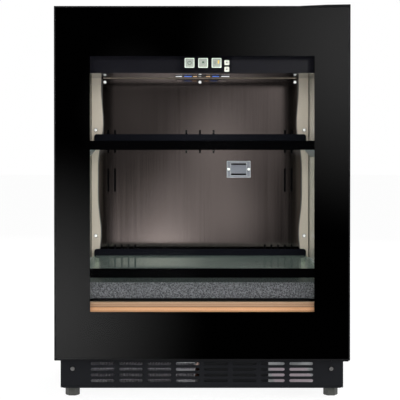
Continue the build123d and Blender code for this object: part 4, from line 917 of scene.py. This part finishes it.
@dataclass
class KeyMarks:
    """Rims and printed marks on the five keys."""

    face_y: float = -0.2092
    lift: float = 0.00025  # How far a mark stands off its key
    edge: float = 0.0001
    through: float = 0.002  # Reach of what cuts through a mark, to both sides
    row_x: Triple = (-0.0252, 0.0027, 0.0303)  # Middle of each large key
    row_z: float = 0.690  # Their height
    rim: Pair = (0.0096, 0.0085)  # Half the outer and half the inner side of a large key's rim
    rim_corner: float = 0.0006  # Rounding inside the rim
    ring: Pair = (0.0036, 0.0006)  # Radius of the power key's ring and of its line
    ring_flat_share: float = 0.4  # What the ring's line keeps of its depth
    # Half the width of the ring's gap, and its bottom and top over the middle
    gap: Triple = (0.0012, 0.001, 0.006)
    # Half the width of the bar in it, and its bottom and top over the middle
    bar: Triple = (0.0005, 0.0008, 0.0048)
    # Radius of the lamp mark's bulb, and how far it is over its key's middle
    bulb: Pair = (0.0022, 0.0012)
    bulb_flat_share: float = 0.16  # What the bulb keeps of its depth
    # Half the width of a ray, and where it starts and ends from the bulb's middle
    ray: Triple = (0.0003, 0.0030, 0.0041)
    rays: int = 8
    digit: Triple = (0.0026, 0.0056, 0.0006)  # Width and height of a digit and width of its line
    digit_x: Pair = (-0.0072, -0.0036)  # Left edge of each digit from its key's middle
    digit_z: float = -0.0028  # Foot of the digits from their key's middle
    # Left, right, bottom and top of the amber bar from its key's middle
    amber: Quad = (0.0024, 0.0054, -0.0016, 0.0056)
    amber_edge: float = 0.0003
    small_x: float = 0.0515  # Middle of the small keys
    small_z: Pair = (0.6905, 0.6768)  # Their heights
    arrow: float = 0.0021

    def patch(
        self, x_span: Pair, z_span: Pair, edge: float = 0.0, reach: float = 0.0,
        segments: int = 1,
    ) -> Piece:
        """A thin block on a key's face.

        Args:
            x_span: Its left and right edge.
            z_span: Its bottom and top.
            edge: Width of its rounding, if it isn't a mark's.
            reach: How far it goes to both sides of the face, if it isn't a mark's lift.
            segments: Faces across the rounding.

        Returns:
            The block.
        """
        (left, right), (bottom, top) = x_span, z_span
        front, back = about(self.face_y, reach or self.lift)
        return new_box((left, front, bottom), (right, back, top), edge or self.edge, segments)

    def rims(self) -> None:
        """The bright rim round each large cap."""
        outer, inner = self.rim
        for body, x in zip(("power_key", "lamp_key", "display_key"), self.row_x):
            rim = self.patch(about(x, outer), about(self.row_z, outer))
            hole = self.patch(
                about(x, inner), about(self.row_z, inner), self.rim_corner, self.through, 2)
            finish_piece(f"{body}_rim", [cut(rim, hole)], KEY_RIM, body)

    def power(self) -> None:
        """A broken ring with an upright bar."""
        x, z = self.row_x[0], self.row_z
        radius, line = self.ring
        ring = new_shape(
            bpy.ops.mesh.primitive_torus_add, major_segments=40, minor_segments=8,
            major_radius=radius, minor_radius=line, location=(x, self.face_y, z),
            rotation=(QUARTER_TURN, 0, 0))
        flatten(ring, self.ring_flat_share, (x, self.face_y, z))
        half, bottom, top = self.gap
        cut(ring, self.patch(about(x, half), (z + bottom, z + top), reach=self.through))
        half, bottom, top = self.bar
        bar = self.patch(about(x, half), (z + bottom, z + top))
        finish_piece("power_mark", [ring, bar], MARK_GREEN, "power_key")

    def lamp(self) -> None:
        """A small lamp with rays, a little above the middle."""
        radius, rise = self.bulb
        x, z = self.row_x[1], self.row_z + rise
        bulb = new_shape(
            bpy.ops.mesh.primitive_uv_sphere_add, segments=24, ring_count=12, radius=radius,
            location=(x, self.face_y, z))
        flatten(bulb, self.bulb_flat_share, (x, self.face_y, z))
        parts = [bulb]
        half, start, end = self.ray
        for number in range(self.rays):
            turn = Matrix.Rotation(number * 2 * math.pi / self.rays, 4, "Y")
            ray = self.patch(about(0.0, half), (start, end))
            ray.data.transform(Matrix.Translation((x, 0, z)) @ turn)
            parts.append(ray)
        finish_piece("lamp_mark", parts, MARK_LEAF, "lamp_key")

    def display(self) -> None:
        """The digits 1 and 2 on the left of an upright amber bar."""
        width, height, line = self.digit
        full, right = (0, width), (width - line, width)
        lower, upper = (0, height / 2), (height / 2, height)
        top, middle = (full, (height - line, height)), (full, about(height / 2, line / 2))
        foot, lower_left = (full, (0, line)), ((0, line), lower)
        one = ((right, upper), (right, lower))
        two = (top, (right, upper), middle, lower_left, foot)
        key_x = self.row_x[2]
        bars = []
        for digit, left in zip((one, two), self.digit_x):
            x, z = key_x + left, self.row_z + self.digit_z
            for (x0, x1), (z0, z1) in digit:
                bars.append(self.patch((x + x0, x + x1), (z + z0, z + z1)))
        finish_piece("display_digits", bars, MARK_GREEN, "display_key")
        left, right, bottom, top = self.amber
        amber = self.patch(
            (key_x + left, key_x + right), (self.row_z + bottom, self.row_z + top),
            self.amber_edge)
        finish_piece("display_bar", [amber], MARK_YELLOW, "display_key")

    def arrows(self) -> None:
        """A triangle on each small key, one up and one down."""
        for body, z, turn in zip(("up_key", "down_key"), self.small_z, (0.0, math.pi)):
            arrow = new_shape(
                bpy.ops.mesh.primitive_circle_add, vertices=3, radius=self.arrow,
                fill_type="NGON", location=(0, 0, 0))
            with editing(arrow):
                bpy.ops.mesh.select_all(action="SELECT")
                extrude((0, 0, 2 * self.lift))
                bpy.ops.mesh.select_all(action="SELECT")
                bpy.ops.mesh.normals_make_consistent(inside=False)
            arrow.data.transform(
                Matrix.Translation((self.small_x, self.face_y + self.lift, z))
                @ Matrix.Rotation(turn, 4, "Y") @ FACING_FRONT)
            finish_piece(f"{body}_arrow", [arrow], MARK_DARK, body)

    def build(self) -> None:
        """Makes every rim and mark."""
        self.rims()
        self.power()
        self.lamp()
        self.display()
        self.arrows()


@dataclass
class LampTiles:
    """Small lit tiles in a row under the smoked lens of the ceiling lamp."""

    drop: float = 0.0008  # How far a tile stands below the lamp's lens
    sink: float = 0.0004  # How far it reaches into the lens, and how wide it is rounded
    depth: float = 0.022  # Size of a tile from front to back
    # Left and right edge of each tile, by its light
    white: tuple[Pair, Pair] = ((-0.0555, -0.0415), (0.0465, 0.0645))
    blue: tuple[Pair, Pair] = ((-0.0365, -0.0195), (0.0265, 0.0415))
    amber: tuple[Pair, Pair] = ((-0.0165, -0.0080), (0.0125, 0.0215))

    def build(self) -> None:
        """Makes the white, blue and tan tiles."""
        low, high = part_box("lamp_lens")
        front, back = about((low.y + high.y) / 2, self.depth / 2)
        for light, spans, finish in (
            ("white", self.white, LED_WHITE), ("blue", self.blue, LED_BLUE),
            ("amber", self.amber, LED_AMBER),
        ):
            tiles = [
                new_box((left, front, low.z - self.drop), (right, back, low.z + self.sink),
                        self.sink)
                for left, right in spans]
            finish_piece(f"lamp_tiles_{light}", tiles, finish)


@dataclass
class WallJoints:
    """Painted shade behind the wall's slots, the sensor's slots and at the step, and the beads and
    rims round the wall and its parts.
    """

    slot_shade_y: Pair = (0.1846, 0.1876)  # Front and back of the black fill of painted shade behind the slots
    slot_shade_edge: float = 0.0008
    # Span across, on the right, and span upward of each group of slots
    slots: tuple[tuple[Pair, Pair], ...] = (
        ((0.191, 0.219), (0.497, 0.559)), ((0.191, 0.219), (0.408, 0.470)),
        ((0.146, 0.219), (0.233, 0.294)))
    # Radius of the bead under the ceiling, and how far it is behind the strips' face
    joint: Pair = (0.0008, 0.0013)
    joint_x: Triple = (-0.224, 0.0, 0.224)  # Points along it
    # Radius of the rolled edges, and how far they are behind the strips' face
    rolled: Pair = (0.0011, 0.0015)
    strip_width: float = 0.026
    # Height and width of a strip's inner edge, as shares of the strip's
    edge_shares: tuple[Pair, ...] = (
        (0.0, 0.65), (0.11, 0.69), (0.205, 0.82), (0.35, 0.6), (0.48, 0.56), (0.61, 0.64),
        (0.735, 1.0), (0.88, 0.91), (0.995, 0.87))
    smooth: float = 50.0  # Edges of a bead sharper than this many degrees stay sharp
    # How far each of the cover's rims is inside its side and its top and bottom, its width, and
    # how far it stands proud
    rims: tuple[Quad, ...] = (
        (0.0, 0.0, 0.0013, 0.0006), (0.0082, 0.0039, 0.0012, 0.0004))
    rim_edge: float = 0.0002
    rim_corner: float = 0.0008  # Rounding inside a rim
    through: float = 0.002  # Reach of what cuts through a rim, to both sides
    # Half the width and height of the black pad of painted shade behind the cover's slots
    pad_half: Pair = (0.0178, 0.0150)
    pad_y: Pair = (0.0058, 0.0066)  # Front and back of that pad, behind the cover's face
    pad_edge: float = 0.0003
    # How far the black bead of painted shade at the step is inside its sides, in front of its face
    # and behind it
    step_bead: Triple = (0.0004, 0.0012, 0.0002)
    step_z: Pair = (0.1655, 0.1850)  # Bottom and top of that bead
    step_edge: float = 0.0005

    def foam(self) -> None:
        """A black fill behind each group of slots, painted shade so that they read black."""
        front, back = self.slot_shade_y
        pads = []
        for span, (bottom, top) in self.slots:
            for side in SIDES:
                left, right = sorted(side * x for x in span)
                pads.append(
                    new_box((left, front, bottom), (right, back, top), self.slot_shade_edge))
        finish_piece("slot_painted_shade", pads, PAINTED_SHADE_FILL)

    def round_bead(self, points: Sequence[Triple], radius: float) -> Piece:
        """A round bead through some points, as a mesh with closed ends.

        Args:
            points: Where its middle line runs.
            radius: Its radius.

        Returns:
            The settled bead.
        """
        deselect_all()
        bpy.ops.curve.primitive_bezier_curve_add(location=(0, 0, 0))
        path = bpy.context.object.data
        path.splines[0].bezier_points.add(len(points) - 2)
        for point, place in zip(path.splines[0].bezier_points, points):
            point.co = place
            point.handle_left_type = "AUTO"
            point.handle_right_type = "AUTO"
        path.resolution_u = 8
        path.bevel_depth = radius
        path.bevel_resolution = 3
        path.use_fill_caps = True
        bpy.ops.object.convert(target="MESH")
        return settle(bpy.context.object)

    def beads(self) -> None:
        """The joint under the ceiling and the rolled edges beside the strips."""
        low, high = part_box("side_strips")
        radius, behind = self.joint
        joint = self.round_bead(
            [(x, low.y + behind, high.z - radius) for x in self.joint_x], radius)
        finish_piece(
            "ceiling_joint_bead", [joint], JOINT_BEAD, angle=self.smooth)
        radius, behind = self.rolled
        edges = []
        for side in SIDES:
            edges.append(self.round_bead([
                (side * (high.x - share * self.strip_width - radius), low.y + behind,
                 low.z + rise * (high.z - low.z)) for rise, share in self.edge_shares], radius))
        finish_piece("rolled_wall_edges", edges, ROLLED_EDGE, angle=self.smooth)

    def sensor_face(self) -> None:
        """Rims round the sensor's cover and its middle, lighter as a painted highlight, and a black
        pad of painted shade behind its slots.
        """
        low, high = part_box("sensor_cover")
        rims = []
        for across, up, width, proud in self.rims:
            rim = new_box(
                (low.x + across, low.y - proud, low.z + up),
                (high.x - across, low.y + self.rim_edge, high.z - up), self.rim_edge)
            across, up = across + width, up + width
            hole = new_box(
                (low.x + across, low.y - self.through, low.z + up),
                (high.x - across, low.y + self.through, high.z - up), self.rim_corner)
            rims.append(cut(rim, hole))
        finish_piece("sensor_cover_highlight_rims", rims, SENSOR_RIM_HIGHLIGHT)
        # Painted shade: a black pad behind the cover's slots
        (left, right), (bottom, top) = map(
            about, ((low.x + high.x) / 2, (low.z + high.z) / 2), self.pad_half)
        front, back = self.pad_y
        pad = new_box(
            (left, low.y + front, bottom), (right, low.y + back, top), self.pad_edge)
        finish_piece("sensor_slot_painted_shade", [pad], PAINTED_SHADE_FILL)

    def step_shade(self) -> None:
        """A black bead of painted shade along the foot of the embossed step."""
        low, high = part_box("step_cover")
        inset, proud, behind = self.step_bead
        bottom, top = self.step_z
        bead = new_box(
            (low.x + inset, low.y - proud, bottom), (high.x - inset, low.y + behind, top),
            self.step_edge)
        finish_piece("step_painted_shade_bead", [bead], PAINTED_SHADE_FILL)

    def build(self) -> None:
        """Makes the painted shade behind the slots and at the step, the beads and the rims."""
        self.foam()
        self.beads()
        self.step_shade()
        self.sensor_face()


@dataclass
class FanGuard:
    """A wire finger guard behind the condenser's fan."""

    centre: Triple = (-0.133, 0.0466, 0.086)
    radii: tuple[float, ...] = (0.012, 0.021, 0.030, 0.0395)  # Radius of each ring
    wire: float = 0.0009
    spokes: int = 4
    overhang: float = 0.006  # How far they reach past the last ring
    tip_share: float = 0.5  # Rounding of their ends, as a share of the wire's radius

    def build(self) -> None:
        """Makes the rings and spokes as one piece on the cabinet."""
        wires = [
            new_shape(
                bpy.ops.mesh.primitive_torus_add, major_segments=48, minor_segments=8,
                major_radius=radius, minor_radius=self.wire, location=self.centre,
                rotation=(QUARTER_TURN, 0, 0))
            for radius in self.radii]
        start, end = self.radii[0], self.radii[-1] + self.overhang
        for number in range(self.spokes):
            turn = Matrix.Rotation((number + 0.5) * 2 * math.pi / self.spokes, 4, "Y")
            spoke = new_shape(
                bpy.ops.mesh.primitive_cylinder_add, vertices=10, radius=self.wire,
                depth=end - start, location=(0, 0, (start + end) / 2))
            for way in SIDES:
                round_end(spoke, (0, 0, way), self.wire * self.tip_share, 2)
            spoke.data.transform(Matrix.Translation(self.centre) @ turn)
            wires.append(spoke)
        finish_piece("condenser_fan_guard", wires, CHROMED)


@dataclass
class TerminalCover:
    """The ribbed plastic cover over the compressor's terminals."""

    low: Triple = (0.042, 0.206, 0.078)
    high: Triple = (0.098, 0.232, 0.128)
    edge: float = 0.0045
    # How far the lid's step is inside the edge, and how far it stands out
    lid: Pair = (0.003, 0.0022)
    ribs: int = 4
    rib_margin: float = 0.010  # How far the ribs stay inside the cover's sides
    rib_half: float = 0.0008
    rib_edge: float = 0.0005
    rib_y: Pair = (0.0018, 0.0036)  # Front and back of a rib, from the cover's back
    clip_x: Pair = (0.0655, 0.0745)  # Left and right edge of the clip over its top
    clip_z: Pair = (-0.001, 0.0012)  # Bottom and top of the clip, from the cover's top
    clip_edge: float = 0.0008
    clip_margin: float = 0.004  # How far the clip stays inside front and back

    def build(self) -> None:
        """Makes the cover with a stepped lid, its ribs and a clip."""
        (left, front, bottom), (right, back, top) = self.low, self.high
        cover = new_box(self.low, self.high, self.edge, 4)
        with editing(cover):
            select_facing(cover, (0, 1, 0))
            bpy.ops.mesh.inset(thickness=self.lid[0])
            extrude((0, self.lid[1], 0))
        parts = [cover]
        margin, (rib_front, rib_back) = self.rib_margin, self.rib_y
        pitch = (right - left - 2 * margin) / (self.ribs - 1)
        for number in range(self.ribs):
            x0, x1 = about(left + margin + number * pitch, self.rib_half)
            parts.append(new_box(
                (x0, back + rib_front, bottom + margin), (x1, back + rib_back, top - margin),
                self.rib_edge))
        (x0, x1), (z0, z1) = self.clip_x, self.clip_z
        parts.append(new_box(
            (x0, front + self.clip_margin, top + z0), (x1, back - self.clip_margin, top + z1),
            self.clip_edge))
        finish_piece("compressor_terminal_cover", parts, BLACK_NYLON)


@dataclass
class BackPlateBeads:
    """Pressed stiffening beads on the back plate."""

    half_width: float = 0.011
    rise: float = 0.0022  # How far it stands off the plate
    sink: float = 0.0006  # How far it reaches into the plate
    edge: float = 0.0018
    margin: float = 0.045  # Distance from the plate's top and bottom
    places: Triple = (-0.17, 0.0, 0.17)  # Middle of each bead

    def build(self) -> None:
        """Makes the beads as one piece."""
        low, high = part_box("back_plate")
        beads = []
        for place in self.places:
            left, right = about(place, self.half_width)
            beads.append(new_box(
                (left, high.y - self.sink, low.z + self.margin),
                (right, high.y + self.rise, high.z - self.margin), self.edge, 3))
        finish_piece("back_plate_beads", beads, GALVANISED)


# Studio


@dataclass
class Studio:
    """Camera, lamps, floor and surroundings."""

    eye: Triple = (-0.0335, -3.285, 0.530)
    target: Triple = (-0.0335, -0.285, 0.4907)
    lens: float = 134.56  # Focal length in millimetres
    sensor: float = 36.0  # Width of the sensor in millimetres
    sight: float = 60.0  # How far the camera sees
    # How far the frame is shifted to the right and up, as shares of its width
    shift: Pair = (0.03625, -0.0993)
    lit: Triple = (0.0, 0.0, 0.4)  # What the lamps point at
    # Name, place, size and watts of each lamp round the cooler
    lamps: tuple[tuple[str, Triple, float, float], ...] = (
        ("front_lamp", (0.05, -3.6, 0.62), 0.9, 90.0),
        ("front_left_lamp", (-1.9, -2.8, 1.7), 2.0, 14.0),
        ("front_right_lamp", (1.9, -2.6, 1.4), 2.0, 25.0),
        ("rear_lamp", (0.8, 3.4, 2.4), 2.4, 60.0))
    # Place, size and watts of the lamp under the ceiling, which points down
    inside: tuple[Triple, float, float] = ((0.0045, 0.063, 0.671), 0.05, 0.35)
    # Middle and half the size of the dark wall in front, as slopes to the right and up
    wall: tuple[Pair, Pair] = ((0.0, -0.03), (0.2, 0.2))
    wall_fade: float = 0.1  # Width of its soft edge, as a slope
    # Share of a ray's way along Y where the room round the cooler starts, and where it is full
    frontal: Pair = (-0.9, -0.6)
    room: float = 0.6  # Strength of the room round the wall
    # Middle, reach and strength of each patch of light on the wall, as slopes to the right and up
    patches: tuple[tuple[Pair, Pair, float], ...] = (
        ((0.128, 0.065), (0.135, 0.135), 0.78), ((-0.106, -0.118), (0.125, 0.125), 0.95),
        ((0.020, -0.002), (0.036, 0.048), 0.66), ((-0.010, -0.045), (0.030, 0.040), 0.62),
        ((-0.014, -0.078), (0.032, 0.034), 1.6), ((0.030, -0.050), (0.032, 0.042), 0.66),
        ((-0.036, 0.020), (0.040, 0.055), 0.14))
    around: float = 0.35  # Strength of the surroundings for what isn't glossy
    floor_size: float = 40.0
    floor_paint: str = "#F4F4F4"  # What takes the shadow, as sRGB hex
    floor_glow: float = 1.26  # Strength of the white that the eye sees on the floor
    floor_share: float = 0.7  # Share of that white, the rest being the paint
    shade_at: Triple = (0.194, 0.1, 0.0)  # Middle of the floor's shaded patch under the vent
    shade_full: float = 0.35  # Share of the way in from the patch's edge to its full shade
    shade_scale: Triple = (8.5, 5.5, 5.5)  # One over the patch's reach along each axis
    shade: str = "#85797F"  # Colour of that patch, as sRGB hex

    def stand(self, name: str, data: Any, at: Triple, aim: Triple) -> Piece:
        """Puts a camera or lamp in the scene and points it.

        Args:
            name: Its name.
            data: Its lens or light.
            at: Where it stands.
            aim: What it points at.

        Returns:
            The camera or lamp.
        """
        stood = bpy.data.objects.new(name, data)
        bpy.context.scene.collection.objects.link(stood)
        stood.location = at
        way = Vector(aim) - Vector(at)
        stood.rotation_euler = way.to_track_quat("-Z", "Y").to_euler()
        return stood

    def camera(self) -> None:
        """Makes the camera at the photograph's viewpoint."""
        data = bpy.data.cameras.new("camera")
        data.lens = self.lens
        data.sensor_width = self.sensor
        data.shift_x, data.shift_y = self.shift
        data.clip_end = self.sight
        bpy.context.scene.camera = self.stand("camera", data, self.eye, self.target)

    def lamp(self, name: str, at: Triple, size: float, watts: float) -> Piece:
        """Adds a soft square lamp that mirrors don't show.

        Args:
            name: Its name.
            at: Where it stands.
            size: Its side.
            watts: Its power.

        Returns:
            The lamp, pointed at the middle of the cooler.
        """
        data = bpy.data.lights.new(name, "AREA")
        data.shape = "SQUARE"
        data.size = size
        data.energy = watts
        lamp = self.stand(name, data, at, self.lit)
        lamp.visible_glossy = False
        return lamp

    def light(self) -> None:
        """Soft lamps in front, on both sides above, behind, and one under the ceiling."""
        for lamp in self.lamps:
            self.lamp(*lamp)
        self.lamp("cabinet_lamp", *self.inside).rotation_euler = (0, 0, 0)

    def beyond(self, tree: Tree, way: Socket) -> Node:
        """The bright room round a dark wall in front of the cooler.

        Args:
            tree: The world's tree.
            way: The direction that a ray leaves in.

        Returns:
            The strength of the room in that direction, nothing at the dark wall.
        """
        add = partial(add_node, tree)
        parts = add("SeparateXYZ", {}, {"Vector": way})
        start, full = self.frontal
        bright = add(
            "MapRange", {"From Min": start, "From Max": full, "To Max": self.room},
            {"Value": parts.outputs["Y"]})
        for axis, middle, half in zip("XZ", *self.wall):
            moved = add(
                "Math", {"operation": "SUBTRACT", 1: middle}, {0: parts.outputs[axis]})
            off = add("Math", {"operation": "ABSOLUTE"}, {0: moved})
            outside = add(
                "MapRange", {"interpolation_type": "SMOOTHSTEP", "From Min": half,
                             "From Max": half + self.wall_fade, "To Max": self.room},
                {"Value": off})
            bright = add("Math", {"operation": "MAXIMUM"}, {0: bright, 1: outside})
        return bright

    def surroundings(self) -> None:
        """A white room for the camera, with a dark wall and soft patches of light for gloss."""
        world = bpy.data.worlds.new("studio")
        bpy.context.scene.world = world
        tree = blank_tree(world)
        add = partial(add_node, tree)
        way = add("TexCoord").outputs["Generated"]
        strength = self.beyond(tree, way)
        for (across, up), reach, level in self.patches:
            scale = (1 / reach[0], 1 / max(reach), 1 / reach[1])
            ball = soft_ball(tree, way, (across, -1.0, up), scale)
            patch = add(
                "MapRange", {"interpolation_type": "SMOOTHSTEP", "To Max": level},
                {"Value": ball})
            strength = add("Math", {"operation": "ADD"}, {0: strength, 1: patch})
        ray = add("LightPath")
        soft = add("Background", {"Color": WHITE, "Strength": self.around})
        glossy = add("Background", {"Color": WHITE}, {"Strength": strength})
        white = add("Background", {"Color": WHITE, "Strength": 1.0})
        unseen = add("MixShader", {}, {0: ray.outputs["Is Glossy Ray"], 1: soft, 2: glossy})
        mixed = add("MixShader", {}, {0: seen_by_eye(tree, ray), 1: unseen, 2: white})
        add("OutputWorld", {}, {"Surface": mixed})

    def floor(self) -> None:
        """A wide white floor that keeps a faint shadow and is shaded under the pan's vent."""
        floor = new_shape(
            bpy.ops.mesh.primitive_plane_add, size=self.floor_size, location=(0, 0, 0))
        floor.name = "studio_floor"
        floor.visible_glossy = False
        material = bpy.data.materials.new("white_studio_floor")
        tree = blank_tree(material)
        add = partial(add_node, tree)
        seen = seen_by_eye(tree, add("LightPath"))
        share = add("Math", {"operation": "MULTIPLY", 1: self.floor_share}, {0: seen})
        matt = add("BsdfDiffuse", {"Color": linear(self.floor_paint)})
        place = add("TexCoord").outputs["Object"]
        under = soft_ball(tree, place, self.shade_at, self.shade_scale)
        shaded = add("MapRange", {"From Max": self.shade_full}, {"Value": under})
        tone = add(
            "Mix", {"data_type": "RGBA", 6: WHITE, 7: linear(self.shade)}, {0: shaded})
        white = add("Emission", {"Strength": self.floor_glow}, {"Color": tone.outputs[2]})
        mixed = add("MixShader", {}, {0: share, 1: matt, 2: white})
        add("OutputMaterial", {}, {"Surface": mixed})
        floor.data.materials.append(material)

    def build(self) -> None:
        """Makes the camera, lamps, surroundings and floor."""
        self.camera()
        self.light()
        self.surroundings()
        self.floor()
        bpy.context.scene.view_settings.view_transform = "Standard"


def main() -> None:
    """Loads the frame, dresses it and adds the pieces."""
    logging.basicConfig(level=logging.INFO, format="%(name)s: %(message)s")
    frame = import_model()
    Studio().build()
    cabinetwork = Cabinetwork(frame["nodes"])
    cabinetwork.dress()
    cabinetwork.clear_panes()
    screws = Fasteners()
    screws.wall()
    screws.grille()
    screws.back()
    KeyMarks().build()
    LampTiles().build()
    WallJoints().build()
    FanGuard().build()
    TerminalCover().build()
    BackPlateBeads().build()


if __name__ == "__main__":
    main()
